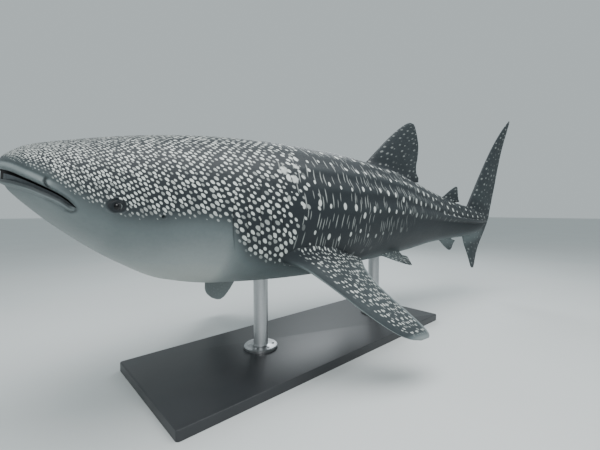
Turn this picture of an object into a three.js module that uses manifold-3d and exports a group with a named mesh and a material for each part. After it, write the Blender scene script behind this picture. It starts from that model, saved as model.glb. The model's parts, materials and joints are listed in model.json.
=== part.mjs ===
// A whale shark, life size, held by a plain display stand.
// Millimetres, +Z up. The shark is built straight and level in a frame of its own, with the
// snout at x = 0 and the tail at +x. One function then bends the tail, and one group tips the
// whole animal nose up and to its left side. The stand is built in the level frame.
import * as THREE from "three";
import Module from "manifold-3d";
import { mergeVertices } from "three/addons/utils/BufferGeometryUtils.js";

// Driving sizes
const LENGTH = 6000; // snout to the tip of the tail fin, with the fin laid back straight
const AROUND = 48; // sides of a cross-section of the body
const GAP = 0.3; // clearance kept where two pieces meet
const NOSE_UP = THREE.MathUtils.degToRad(4.42);
const BANK_LEFT = THREE.MathUtils.degToRad(4.01);

// Where the body is parted, in shares of the length
const HEAD_END = 0.145;
const GILLS_END = 0.218;
const TRUNK_END = 0.6;
const STALK_END = 0.74;
const CORE_END = 0.812; // of the stalk inside the tail fin

// The stand
const SNOUT_HEIGHT = 1290; // of the snout above the floor
const BASE_SIZE = { x: 2700, y: 1000, z: 60 };
const BASE_CENTRE_X = 1950; // behind the snout, near the centre of mass
const ROD_RADIUS = 55;
const ROD_STATIONS = { front: 0.255, rear: 0.485 };
const ROD_TOP_DEPTH = 60; // how far a rod would run into the belly before it is trimmed
const COLLAR = { radius: 130, height: 24, bevel: 7 };

// The outline of the body at stations along the length, all in shares of the length
const BACK = [
  [0, 0.0075], [0.002, 0.0125], [0.006, 0.0165], [0.015, 0.0228], [0.04, 0.032], [0.08, 0.0445],
  [0.12, 0.0545], [0.17, 0.064], [0.23, 0.072], [0.3, 0.0783], [0.38, 0.082], [0.46, 0.0808],
  [0.54, 0.0705], [0.62, 0.057], [0.7, 0.0445], [0.74, 0.0405], [0.78, 0.036], [0.815, 0.026],
];
const BELLY = [
  [0, -0.0025], [0.002, -0.0062], [0.006, -0.0115], [0.015, -0.0205], [0.04, -0.041],
  [0.08, -0.0665], [0.12, -0.084], [0.17, -0.0912], [0.23, -0.0925], [0.3, -0.091],
  [0.38, -0.0803], [0.46, -0.07], [0.54, -0.0577], [0.62, -0.0415], [0.7, -0.0282],
  [0.74, -0.0225], [0.78, -0.012], [0.815, 0.008],
];
const HALF_WIDTH = [
  [0, 0.03], [0.002, 0.041], [0.006, 0.052], [0.015, 0.0658], [0.04, 0.0775], [0.08, 0.0835],
  [0.12, 0.088], [0.17, 0.0932], [0.23, 0.095], [0.3, 0.0922], [0.38, 0.085], [0.46, 0.0741],
  [0.54, 0.0587], [0.62, 0.0415], [0.7, 0.0265], [0.74, 0.0205], [0.78, 0.014], [0.815, 0.004],
];
// The tail swings to the left, towards -y
const SWING = [[0.4, 0], [0.6, -0.0216], [0.76, -0.0556], [0.86, -0.0716]];
const SQUARENESS = [[0, 2.7], [0.1, 2.5], [0.2, 2.25], [0.5, 2.15], [0.74, 2.0], [0.815, 2.0]];
const WIDEST_SHARE = 0.46; // height of the widest place, from belly to back

// Raised ridges along each side, by their angle above the flank; the lowest grows into the keel
const RIDGES = [
  { angle: 37.5, height: [[0.19, 0], [0.26, 0.0016], [0.5, 0.0018], [0.62, 0]] },
  { angle: 22.5, height: [[0.24, 0], [0.32, 0.0016], [0.56, 0.0018], [0.68, 0]] },
  { angle: 7.5, height: [[0.26, 0], [0.36, 0.0018], [0.58, 0.003], [0.68, 0.009], [0.73, 0.014],
    [0.775, 0.010], [0.805, 0]] },
];
const BACK_RIDGE = [[0.1, 0], [0.18, 0.0012], [0.4, 0.0016], [0.44, 0]];

// The mouth: the lower edge of the upper jaw and the upper edge of the lower jaw, in side view
const UPPER_JAW_EDGE = [
  [-0.01, 0.0036], [0.0045, 0.0016], [0.0136, -0.0021], [0.0227, -0.0062], [0.0318, -0.0108],
  [0.0365, -0.0142], [0.0405, -0.0185],
];
const LOWER_JAW_EDGE = [
  [-0.01, -0.0036], [0.0045, -0.0046], [0.0136, -0.0064], [0.0227, -0.0098], [0.0318, -0.0139],
  [0.0375, -0.0177], [0.0405, -0.0187],
];
// Where the lower jaw is parted from the head behind the corner of the mouth
const JAW_PARTING = [[0.052, -0.0345], [0.07, -0.0475], [0.079, -0.1]];

const EYE = { station: 0.0643, height: -0.0152, radius: 0.0039, sunk: 0.0022 };
const EYE_RIM = { share: 1.28, thickness: 7.5 }; // its size counts in eyeballs, its tube in mm
const SPIRACLE = { station: 0.0955, height: -0.0205, radius: 0.003, stretch: 1.2 };
// A nostril from top to bottom: heights in shares, half widths in mm, and the reach of its cutter
const NOSTRIL = {
  station: 0.0235,
  height: -0.0038,
  lean: -0.35,
  heights: [-0.0012, -0.0028, -0.0045, -0.0062],
  halfWidths: [4, 11, 8, 5],
  outside: 25,
  inside: 16,
};
const GILLS = {
  stations: [0.154, 0.1675, 0.181, 0.1935, 0.2045],
  top: [0.012, 0.0155, 0.0175, 0.0175, 0.0155],
  bottom: [-0.047, -0.047, -0.044, -0.036, -0.027],
  bow: 0.006, // how far the middle of a slit bows forward
  trail: 0.004, // how far its lower end lies behind its upper end
  width: 0.0014,
  depth: 0.006,
  slant: 0.8, // how far a slit runs forward under its flap, in shares of its depth
  outside: { out: 12, back: 8 }, // where the cutter starts above the skin, in mm
  steps: 7,
};

const wasm = await Module();
wasm.setup();

// A curve through the given points that keeps their rises and falls, with no overshoot
function curve(points) {
  const steps = points.slice(1).map((p, i) => (p[1] - points[i][1]) / (p[0] - points[i][0]));
  const slopes = points.map((p, i) => {
    if (i === 0) return steps[0];
    if (i === points.length - 1) return steps[i - 1];
    if (steps[i - 1] * steps[i] <= 0) return 0;
    return (2 * steps[i - 1] * steps[i]) / (steps[i - 1] + steps[i]);
  });
  return (at) => {
    if (at <= points[0][0]) return points[0][1];
    if (at >= points[points.length - 1][0]) return points[points.length - 1][1];
    const i = points.findIndex((p) => p[0] > at) - 1;
    const width = points[i + 1][0] - points[i][0];
    const t = (at - points[i][0]) / width;
    const rise = points[i + 1][1] - points[i][1];
    const a = slopes[i] * width;
    const b = slopes[i + 1] * width;
    return points[i][1] + t * (a + t * (3 * rise - 2 * a - b + t * (a + b - 2 * rise)));
  };
}

const back = curve(BACK);
const belly = curve(BELLY);
const halfWidth = curve(HALF_WIDTH);
const swing = curve(SWING);
const squareness = curve(SQUARENESS);
const backRidge = curve(BACK_RIDGE);
const ridges = RIDGES.map((ridge) => ({ angle: ridge.angle, height: curve(ridge.height) }));

const radians = (degrees) => THREE.MathUtils.degToRad(degrees);

// Bends a point of the straight animal, given in shares of the length, and scales it
function bend(x, y, z) {
  return new THREE.Vector3(x, y + swing(x), z).multiplyScalar(LENGTH);
}

// How far the skin is raised by ridges, at a station and an angle above the flank
function ridgeRise(station, angle) {
  const step = 360 / AROUND;
  let rise = backRidge(station) * Math.max(0, 1 - (90 - angle) / step);
  for (const ridge of ridges) {
    rise += ridge.height(station) * Math.max(0, 1 - Math.abs(angle - ridge.angle) / step);
  }
  return rise;
}

// A point on the skin: angle 0 is the left flank, 90 the back, 180 the right flank, 270 the belly
function skinPoint(station, degrees, swell = 0) {
  const up = Math.sin(radians(degrees));
  const out = -Math.cos(radians(degrees));
  const power = 2 / squareness(station);
  const low = belly(station);
  const high = back(station);
  const middle = low + (high - low) * WIDEST_SHARE;
  const reach = up > 0 ? high - middle : middle - low;
  const angle = (Math.asin(THREE.MathUtils.clamp(up, -1, 1)) * 180) / Math.PI;
  const rise = ridgeRise(station, angle);
  const y = Math.sign(out) * (halfWidth(station) * Math.abs(out) ** power + rise * Math.abs(out));
  const z = middle + Math.sign(up) * (reach * Math.abs(up) ** power + rise * Math.abs(up));
  const point = bend(station, y, z);
  return point.add(new THREE.Vector3(0, out * swell, up * swell));
}

// A point on the plain flank at a given height, on the left (-1) or the right (+1) side
function flankPoint(station, height, side) {
  const low = belly(station);
  const high = back(station);
  const middle = low + (high - low) * WIDEST_SHARE;
  const reach = height > middle ? high - middle : middle - low;
  const share = THREE.MathUtils.clamp(Math.abs(height - middle) / reach, 0, 1);
  const power = squareness(station);
  const y = halfWidth(station) * (1 - share ** power) ** (1 / power);
  return bend(station, side * y, height);
}

// Turns vertices and triangles into a solid
function solid(points, triangles) {
  const vertices = new Float32Array(points.flatMap((p) => [p.x, p.y, p.z]));
  return new wasm.Manifold(new wasm.Mesh({
    numProp: 3,
    vertProperties: vertices,
    triVerts: new Uint32Array(triangles.flat()),
  }));
}

// The solid of a three.js geometry
function solidOf(geometry) {
  geometry.deleteAttribute("normal");
  geometry.deleteAttribute("uv");
  const merged = mergeVertices(geometry, 1e-3);
  return new wasm.Manifold(new wasm.Mesh({
    numProp: 3,
    vertProperties: new Float32Array(merged.attributes.position.array),
    triVerts: new Uint32Array(merged.index.array),
  }));
}

// Joins rings of equally many points into a closed body, with a flat fan on each end
function loft(rings) {
  const count = rings[0].length;
  const points = rings.flat();
  const triangles = [];
  for (let i = 0; i + 1 < rings.length; i += 1) {
    for (let j = 0; j < count; j += 1) {
      const next = (j + 1) % count;
      const a = i * count + j;
      const b = i * count + next;
      triangles.push([a, b, b + count], [a, b + count, a + count]);
    }
  }
  const last = (rings.length - 1) * count;
  const front = points.length;
  points.push(centreOf(rings[0]), centreOf(rings[rings.length - 1]));
  for (let j = 0; j < count; j += 1) {
    const next = (j + 1) % count;
    triangles.push([front, next, j], [front + 1, last + j, last + next]);
  }
  return facingOut(points, triangles);
}

function centreOf(ring) {
  const sum = ring.reduce((total, p) => total.add(p), new THREE.Vector3());
  return sum.divideScalar(ring.length);
}

// A solid of the triangles, turned over if they faced inwards
function facingOut(points, triangles) {
  let volume = 0;
  for (const [a, b, c] of triangles) {
    volume += points[a].dot(new THREE.Vector3().crossVectors(points[b], points[c]));
  }
  return solid(points, volume > 0 ? triangles : triangles.map(([a, b, c]) => [a, c, b]));
}

// The largest closed surface of a solid
function largest(body) {
  return body.decompose().reduce((best, piece) => (piece.volume() > best.volume() ? piece : best));
}

// The stations of the rings between two places, with both ends
function stationsBetween(from, to, count) {
  return Array.from({ length: count + 1 }, (_, i) => from + ((to - from) * i) / count);
}

function bodyLength(stations, swell = 0) {
  return loft(stations.map((station) => Array.from(
    { length: AROUND },
    (_, i) => skinPoint(station, (360 * i) / AROUND, swell),
  )));
}

const HALF_GAP = GAP / 2 / LENGTH;
const SNOUT_STATIONS = [0, 0.002, 0.006, 0.0105, 0.015, 0.0215, 0.028, 0.034, 0.04, 0.048, 0.057];
const HEAD_STATIONS = [...SNOUT_STATIONS, ...stationsBetween(0.067, HEAD_END - HALF_GAP, 7)];
const GILL_STATIONS = stationsBetween(HEAD_END + HALF_GAP, GILLS_END - HALF_GAP, 6);
const TRUNK_STATIONS = stationsBetween(GILLS_END + HALF_GAP, TRUNK_END - HALF_GAP, 15);
const STALK_STATIONS = stationsBetween(TRUNK_END + HALF_GAP, STALK_END - HALF_GAP, 7);
const TAIL_CORE_STATIONS = stationsBetween(STALK_END + HALF_GAP, CORE_END, 5);

// A fin as a loft of lens-shaped sections. Each section gives its place along the span, its
// front and rear ends and its greatest thickness; place() puts a point into the body's frame.
const CHORD_SHARES = [0.05, 0.17, 0.36, 0.6, 0.84, 1];
const CHORD_THICKNESS = [0.5, 0.86, 1, 0.78, 0.4, 0];
const REAR_EDGE = 0.0007; // thickness of a fin's rear edge

function finSolid(sections, place) {
  const half = CHORD_SHARES.length;
  const rings = sections.map(([span, lead, trail, thick]) => {
    const edge = Math.min(REAR_EDGE, thick * 0.6);
    const upper = CHORD_SHARES.map((share, i) => {
      const t = Math.max(edge, thick * CHORD_THICKNESS[i]) / 2;
      return [lead + (trail - lead) * share, t];
    });
    return [
      place(lead, 0, span),
      ...upper.map(([along, t]) => place(along, t, span)),
      ...upper.slice().reverse().map(([along, t]) => place(along, -t, span)),
    ];
  });
  const count = 2 * half + 1;
  const points = rings.flat();
  const triangles = [];
  for (let i = 0; i + 1 < rings.length; i += 1) {
    for (let j = 0; j < count; j += 1) {
      const next = (j + 1) % count;
      const [a, b, c, d] = [i * count + j, i * count + next, (i + 1) * count + next, (i + 1) * count + j];
      // both faces are split along like diagonals
      if (j <= half) triangles.push([a, b, c], [a, c, d]);
      else triangles.push([a, b, d], [b, c, d]);
    }
  }
  const last = (rings.length - 1) * count;
  for (const [first, turned] of [[0, false], [last, true]]) {
    const cap = [[first, first + count - 1, first + 1]];
    for (let j = 1; j < half; j += 1) {
      const low = first + count - j;
      cap.push([first + j, low, first + j + 1], [low, low - 1, first + j + 1]);
    }
    triangles.push(...cap.map(([a, b, c]) => (turned ? [a, c, b] : [a, b, c])));
  }
  return facingOut(points, triangles);
}

// Fin outlines: [span, front, rear, thickness], in shares of the length
const FIRST_DORSAL = [
  [0.056, 0.43, 0.548, 0.02], [0.068, 0.434, 0.56, 0.0165], [0.0715, 0.436, 0.585, 0.0155],
  [0.078, 0.439, 0.5845, 0.0145], [0.088, 0.445, 0.576, 0.0132], [0.1, 0.455, 0.5735, 0.012],
  [0.116, 0.4705, 0.5745, 0.0105], [0.132, 0.4865, 0.574, 0.0088], [0.147, 0.503, 0.5695, 0.007],
  [0.159, 0.518, 0.563, 0.0055], [0.168, 0.531, 0.5575, 0.004], [0.1725, 0.5405, 0.5525, 0.002],
];
const SECOND_DORSAL = [
  [0.032, 0.655, 0.698, 0.0095], [0.0455, 0.6565, 0.701, 0.0075], [0.048, 0.6585, 0.7135, 0.007],
  [0.0525, 0.663, 0.711, 0.0062], [0.06, 0.6715, 0.7075, 0.005], [0.068, 0.6815, 0.7055, 0.0038],
  [0.0745, 0.691, 0.7035, 0.0028], [0.078, 0.6975, 0.7015, 0.0012],
];
const ANAL = [
  [-0.014, 0.662, 0.699, 0.009], [-0.0305, 0.663, 0.703, 0.007], [-0.033, 0.666, 0.7155, 0.0065],
  [-0.0375, 0.6715, 0.7125, 0.0055], [-0.0435, 0.6795, 0.7095, 0.0045],
  [-0.0495, 0.6895, 0.7075, 0.003], [-0.0535, 0.698, 0.7045, 0.0014],
];
const UPPER_LOBE = [
  [0.004, 0.748, 0.812, 0.012], [0.016, 0.745, 0.8255, 0.012], [0.03, 0.7415, 0.829, 0.014],
  [0.043, 0.7425, 0.8305, 0.0145], [0.058, 0.7475, 0.8325, 0.0135], [0.08, 0.757, 0.8355, 0.012],
  [0.105, 0.7685, 0.8385, 0.0105], [0.13, 0.7805, 0.841, 0.009], [0.155, 0.7935, 0.8445, 0.0075],
  [0.18, 0.808, 0.849, 0.006], [0.205, 0.825, 0.8555, 0.0045], [0.226, 0.8415, 0.8625, 0.0035],
  [0.243, 0.857, 0.8695, 0.0024], [0.251, 0.8655, 0.8725, 0.0012],
];
const LOWER_LOBE = [
  [0.02, 0.748, 0.8265, 0.01], [0.006, 0.744, 0.8225, 0.011], [-0.01, 0.7405, 0.816, 0.012],
  [-0.024, 0.7405, 0.8085, 0.0125], [-0.038, 0.7465, 0.802, 0.0105], [-0.053, 0.7575, 0.7975, 0.008],
  [-0.068, 0.7685, 0.7955, 0.0058], [-0.081, 0.777, 0.7945, 0.004], [-0.0905, 0.784, 0.793, 0.002],
];
// Paired fins: span 0 lies at the root and 1 at the tip; front and rear count from the root's middle
const PECTORAL = [
  [-0.35, -0.048, 0.046, 0.021], [-0.12, -0.05, 0.048, 0.0185], [0, -0.0495, 0.05, 0.017],
  [0.035, -0.0475, 0.069, 0.0165], [0.08, -0.0415, 0.0695, 0.0155], [0.16, -0.0305, 0.0655, 0.014],
  [0.26, -0.0205, 0.0645, 0.0125], [0.38, -0.0095, 0.0665, 0.011], [0.5, 0.001, 0.0725, 0.0096],
  [0.62, 0.011, 0.0795, 0.0082], [0.74, 0.0225, 0.087, 0.0068], [0.84, 0.0335, 0.0925, 0.0056],
  [0.92, 0.0455, 0.0955, 0.0044], [0.97, 0.0575, 0.0945, 0.0032], [1, 0.0715, 0.0895, 0.0016],
];
const PECTORAL_ROOT = { station: 0.2725, out: 0.083, height: -0.053 };
const PECTORAL_REACH = 0.1222;
// How steeply each fin hangs and how far it is turned forward, in degrees
const PECTORAL_POSES = { left: { hang: 39, forward: 0 }, right: { hang: 54, forward: 28 } };
const PELVIC = [
  [-0.7, -0.027, 0.024, 0.0085], [0, -0.0265, 0.026, 0.0068], [0.12, -0.0245, 0.037, 0.0064],
  [0.3, -0.017, 0.0375, 0.0056], [0.52, -0.0055, 0.036, 0.0046], [0.76, 0.0095, 0.0355, 0.0034],
  [0.93, 0.0225, 0.0345, 0.0022], [1, 0.029, 0.033, 0.0012],
];
const PELVIC_ROOT = { station: 0.468, out: 0.046, height: -0.0585 };
const PELVIC_REACH = 0.021;
const PELVIC_POSE = { hang: 42, forward: 2 };

function medianFin(sections) {
  return finSolid(sections, (along, across, span) => bend(along, across, span));
}

// A paired fin, hung and turned as its pose says; its thickness is laid square to its plane
function pairedFin(sections, root, side, reach, pose) {
  const hang = radians(pose.hang);
  const forward = radians(pose.forward);
  const start = new THREE.Vector3(root.station, side * root.out, root.height);
  const back = new THREE.Vector3(1, 0, 0);
  const down = new THREE.Vector3(0, side * Math.cos(hang), -Math.sin(hang));
  const face = back.clone().cross(down);
  const chord = back.clone().multiplyScalar(Math.cos(forward))
    .addScaledVector(down, Math.sin(forward));
  const span = down.clone().multiplyScalar(Math.cos(forward))
    .addScaledVector(back, -Math.sin(forward));
  return finSolid(sections, (along, across, share) => {
    const p = start.clone()
      .addScaledVector(chord, along)
      .addScaledVector(span, share * reach)
      .addScaledVector(face, across);
    return bend(p.x, p.y, p.z);
  });
}

// A bar along the y axis whose side view is the given outline
function sideCutter(outline, halfSpan) {
  const shape = new THREE.Shape(outline.map(([x, z]) => new THREE.Vector2(x * LENGTH, z * LENGTH)));
  const geometry = new THREE.ExtrudeGeometry(shape, { depth: 2 * halfSpan, bevelEnabled: false });
  geometry.rotateX(Math.PI / 2);
  geometry.translate(0, halfSpan, 0);
  return solidOf(geometry);
}

// All that lies below the edge of a jaw and before its parting from the head, in side view
function belowEdge(edge, shift) {
  return sideCutter([
    ...edge,
    ...JAW_PARTING.map(([x, z]) => [x + shift / LENGTH, z]),
    [-0.01, -0.1],
  ], LENGTH * 0.12);
}

// A lip: a round bead along the edge of a jaw, from one corner round the front to the other
const UPPER_LIP = { above: 0.0018, radius: 0.0021, foremost: 0.0012 };
const LOWER_LIP = { above: -0.0018, radius: 0.002, foremost: 0.003 };
const LIP_SIDES = 8;
const LIP_STATIONS = [0.0355, 0.032, 0.027, 0.0215, 0.016, 0.011, 0.0065];

function lip(edge, { above, radius, foremost }) {
  const height = curve(edge);
  const stations = [...LIP_STATIONS, foremost];
  const side = (sign) => stations.map((s) => flankPoint(s, height(s) + above, sign));
  const path = [...side(-1), ...side(1).reverse()];
  const rings = path.map((centre, i) => {
    const before = path[Math.max(i - 1, 0)];
    const after = path[Math.min(i + 1, path.length - 1)];
    const along = after.clone().sub(before).normalize();
    const out = along.clone().cross(new THREE.Vector3(0, 0, 1)).normalize();
    const up = out.clone().cross(along);
    const taper = Math.min(1, 0.35 + 0.25 * Math.min(i, path.length - 1 - i));
    return Array.from({ length: LIP_SIDES }, (_, k) => {
      const turn = (2 * Math.PI * k) / LIP_SIDES;
      return centre.clone()
        .addScaledVector(out, Math.cos(turn) * radius * taper * LENGTH)
        .addScaledVector(up, Math.sin(turn) * radius * taper * LENGTH);
    });
  });
  return loft(rings);
}

// The outward direction of the skin at a place on the flank
function outwards(station, height, side) {
  const step = 0.002;
  const along = flankPoint(station + step, height, side).sub(flankPoint(station - step, height, side));
  const up = flankPoint(station, height + step, side).sub(flankPoint(station, height - step, side));
  const normal = along.cross(up).normalize();
  return normal.y * side < 0 ? normal.negate() : normal;
}

const BALL = { across: 18, down: 10 };

// A ball on the flank, sunk by the given depth, with its pole pointing outwards
function flankBall(station, height, side, radius, sunk, stretch = 1) {
  const out = outwards(station, height, side);
  const geometry = new THREE.SphereGeometry(radius, BALL.across, BALL.down);
  geometry.scale(stretch, 1, 1);
  geometry.applyQuaternion(new THREE.Quaternion().setFromUnitVectors(new THREE.Vector3(0, 1, 0), out));
  const centre = flankPoint(station, height, side).addScaledVector(out, -sunk);
  geometry.translate(centre.x, centre.y, centre.z);
  return solidOf(geometry);
}

function eyeBall(side, extra = 0) {
  return flankBall(EYE.station, EYE.height, side, EYE.radius * LENGTH + extra, EYE.sunk * LENGTH);
}

// The rim round the eye: a low ring, from which the socket is then cut
function eyeRim(side) {
  const out = outwards(EYE.station, EYE.height, side);
  const geometry = new THREE.TorusGeometry(
    EYE.radius * LENGTH * EYE_RIM.share, EYE_RIM.thickness, 6, 20,
  );
  geometry.applyQuaternion(new THREE.Quaternion().setFromUnitVectors(new THREE.Vector3(0, 0, 1), out));
  const centre = flankPoint(EYE.station, EYE.height, side);
  geometry.translate(centre.x, centre.y, centre.z);
  return solidOf(geometry);
}

// One gill slit: a thin blade that enters the skin and slants forward under the flap before it
function gillSlit(index, side) {
  const lead = new THREE.Vector3(1, 0, 0);
  const rings = Array.from({ length: GILLS.steps + 1 }, (_, i) => {
    const share = i / GILLS.steps;
    const height = GILLS.top[index] + (GILLS.bottom[index] - GILLS.top[index]) * share;
    const station = GILLS.stations[index] - GILLS.bow * 4 * share * (1 - share) + GILLS.trail * share;
    const surface = flankPoint(station, height, side);
    const out = outwards(station, height, side);
    const narrow = Math.max(0.25, Math.sin(Math.PI * share));
    const halfWide = (GILLS.width * LENGTH * Math.sqrt(narrow)) / 2;
    const deep = GILLS.depth * LENGTH * narrow;
    const mouth = surface.clone()
      .addScaledVector(out, GILLS.outside.out)
      .addScaledVector(lead, GILLS.outside.back);
    const floor = surface.clone()
      .addScaledVector(out, -deep)
      .addScaledVector(lead, -deep * GILLS.slant);
    return blade(mouth, floor, lead, halfWide, halfWide * 0.6);
  });
  return loft(rings);
}

// One ring of a blade: its outer and inner edge with the half widths there
function blade(outer, inner, across, outerHalf, innerHalf) {
  return [
    outer.clone().addScaledVector(across, -outerHalf),
    outer.clone().addScaledVector(across, outerHalf),
    inner.clone().addScaledVector(across, innerHalf),
    inner.clone().addScaledVector(across, -innerHalf),
  ];
}

// The body's lengths
const SIDES = { left: -1, right: 1 };

function headAndJaw() {
  const whole = bodyLength(HEAD_STATIONS);
  let head = whole.subtract(belowEdge(UPPER_JAW_EDGE, GAP));
  head = head.add(lip(UPPER_JAW_EDGE, UPPER_LIP));
  const jaw = whole.intersect(belowEdge(LOWER_JAW_EDGE, 0))
    .add(lip(LOWER_JAW_EDGE, LOWER_LIP));
  for (const side of Object.values(SIDES)) {
    head = head.add(eyeRim(side)).subtract(eyeBall(side, GAP));
    head = head.subtract(flankBall(
      SPIRACLE.station, SPIRACLE.height, side, SPIRACLE.radius * LENGTH, 0, SPIRACLE.stretch,
    ));
    head = head.subtract(nostril(side));
  }
  return { head: largest(head), jaw: largest(jaw) };
}

// A nostril: a groove that runs down over the upper lip
function nostril(side) {
  const rings = NOSTRIL.heights.map((height, i) => {
    const station = NOSTRIL.station + (height - NOSTRIL.height) * NOSTRIL.lean;
    const surface = flankPoint(station, height, side);
    const out = outwards(station, height, side);
    const along = new THREE.Vector3(0, 0, 1).cross(out).normalize();
    const outer = surface.clone().addScaledVector(out, NOSTRIL.outside);
    const inner = surface.clone().addScaledVector(out, -NOSTRIL.inside);
    return blade(outer, inner, along, NOSTRIL.halfWidths[i], NOSTRIL.halfWidths[i] * 0.5);
  });
  return loft(rings);
}

function gillRegion() {
  let region = bodyLength(GILL_STATIONS);
  for (const side of Object.values(SIDES)) {
    GILLS.stations.forEach((_, i) => {
      region = region.subtract(gillSlit(i, side));
    });
  }
  return largest(region);
}

// What the fins and the rods are trimmed by: the body, thicker by the gap
const BODY_STATIONS = [
  ...TRUNK_STATIONS.slice(0, -1), ...STALK_STATIONS.slice(1, -1), ...TAIL_CORE_STATIONS,
];

function fittedTo(fin, body) {
  return largest(fin.subtract(body));
}

// A rod from the base up to the belly, with a collar at its foot
function rodProfile(height) {
  return [
    [0, 0], [COLLAR.radius, 0], [COLLAR.radius, COLLAR.height - COLLAR.bevel],
    [COLLAR.radius - COLLAR.bevel, COLLAR.height], [ROD_RADIUS, COLLAR.height],
    [ROD_RADIUS, height], [0, height],
  ].map(([r, z]) => new THREE.Vector2(r, z));
}

// The animal's place: tipped nose up, banked to its left, with the snout above the floor
const placement = new THREE.Matrix4()
  .makeRotationY(NOSE_UP)
  .multiply(new THREE.Matrix4().makeRotationX(BANK_LEFT));
placement.setPosition(-BASE_CENTRE_X, 0, SNOUT_HEIGHT);

// The geometry of a solid, for a mesh
function geometryOf(body) {
  const mesh = body.getMesh();
  const geometry = new THREE.BufferGeometry();
  const positions = new Float32Array(mesh.numVert * 3);
  for (let i = 0; i < mesh.numVert; i += 1) {
    for (let k = 0; k < 3; k += 1) positions[i * 3 + k] = mesh.vertProperties[i * mesh.numProp + k];
  }
  geometry.setAttribute("position", new THREE.BufferAttribute(positions, 3));
  geometry.setIndex(new THREE.BufferAttribute(new Uint32Array(mesh.triVerts), 1));
  geometry.computeVertexNormals();
  return geometry;
}

const skin = { color: 0x3f4f5c, roughness: 0.55, metalness: 0 };
const eyeDark = { color: 0x101315, roughness: 0.15, metalness: 0 };
const standPaint = { color: 0x2b2d30, roughness: 0.5, metalness: 0.2 };
const steel = { color: 0x9a9da1, roughness: 0.35, metalness: 0.9 };

function mesh(name, geometry, finish) {
  const made = new THREE.Mesh(geometry, new THREE.MeshStandardMaterial(finish));
  made.name = name;
  return made;
}

function shark() {
  const group = new THREE.Group();
  const put = (name, body, finish = skin) => group.add(mesh(name, geometryOf(body), finish));
  const { head, jaw } = headAndJaw();
  const around = bodyLength(BODY_STATIONS, GAP);
  put("head", head);
  put("lower_jaw", jaw);
  put("gill_region", gillRegion());
  put("trunk", bodyLength(TRUNK_STATIONS));
  put("tail_stalk", bodyLength(STALK_STATIONS));
  put("first_dorsal_fin", fittedTo(medianFin(FIRST_DORSAL), around));
  put("second_dorsal_fin", fittedTo(medianFin(SECOND_DORSAL), around));
  put("anal_fin", fittedTo(medianFin(ANAL), around));
  put("caudal_fin", caudalFin());
  for (const [name, side] of Object.entries(SIDES)) {
    const pectoral = pairedFin(PECTORAL, PECTORAL_ROOT, side, PECTORAL_REACH, PECTORAL_POSES[name]);
    put(`pectoral_fin_${name}`, fittedTo(pectoral, around));
    const pelvic = pairedFin(PELVIC, PELVIC_ROOT, side, PELVIC_REACH, PELVIC_POSE);
    put(`pelvic_fin_${name}`, fittedTo(pelvic, around));
    put(`eye_${name}`, eyeBall(side), eyeDark);
  }
  group.applyMatrix4(placement);
  return { group, around };
}

// The tail fin: both lobes and the end of the stalk inside them
function caudalFin() {
  const behind = new THREE.BoxGeometry(LENGTH, LENGTH, LENGTH);
  behind.translate(LENGTH * (STALK_END + HALF_GAP + 0.5), 0, 0);
  const joined = bodyLength(TAIL_CORE_STATIONS)
    .add(medianFin(UPPER_LOBE))
    .add(medianFin(LOWER_LOBE));
  return largest(joined.intersect(solidOf(behind)));
}

function stand(around) {
  const group = new THREE.Group();
  const base = new THREE.BoxGeometry(BASE_SIZE.x, BASE_SIZE.y, BASE_SIZE.z);
  base.translate(0, 0, BASE_SIZE.z / 2);
  group.add(mesh("stand_base", base, standPaint));
  for (const [name, station] of Object.entries(ROD_STATIONS)) {
    const top = bend(station, 0, belly(station)).applyMatrix4(placement);
    const height = top.z + ROD_TOP_DEPTH - BASE_SIZE.z;
    const lathe = new THREE.LatheGeometry(rodProfile(height), 32);
    lathe.rotateX(Math.PI / 2);
    lathe.translate(top.x, top.y, BASE_SIZE.z + GAP);
    lathe.applyMatrix4(placement.clone().invert());
    const rod = fittedTo(solidOf(lathe), around);
    const made = mesh(`stand_rod_${name}`, geometryOf(rod), steel);
    made.applyMatrix4(placement);
    group.add(made);
  }
  return group;
}

// The origin is the middle of the bottom of the box round the whole model
function centred(...groups) {
  const group = new THREE.Group();
  group.add(...groups);
  group.updateMatrixWorld(true);
  const middle = new THREE.Box3().setFromObject(group, true).getCenter(new THREE.Vector3());
  group.position.set(-middle.x, -middle.y, 0);
  group.updateMatrixWorld(true);
  return group;
}

const { group: animal, around } = shark();
const model = centred(animal, stand(around));

export default model;
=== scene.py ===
"""A whale shark as a life-size display model on a plain stand, in a pale studio."""
import json
import math

import bmesh
import bpy
import numpy as np
from mathutils import Matrix, Vector

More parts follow.
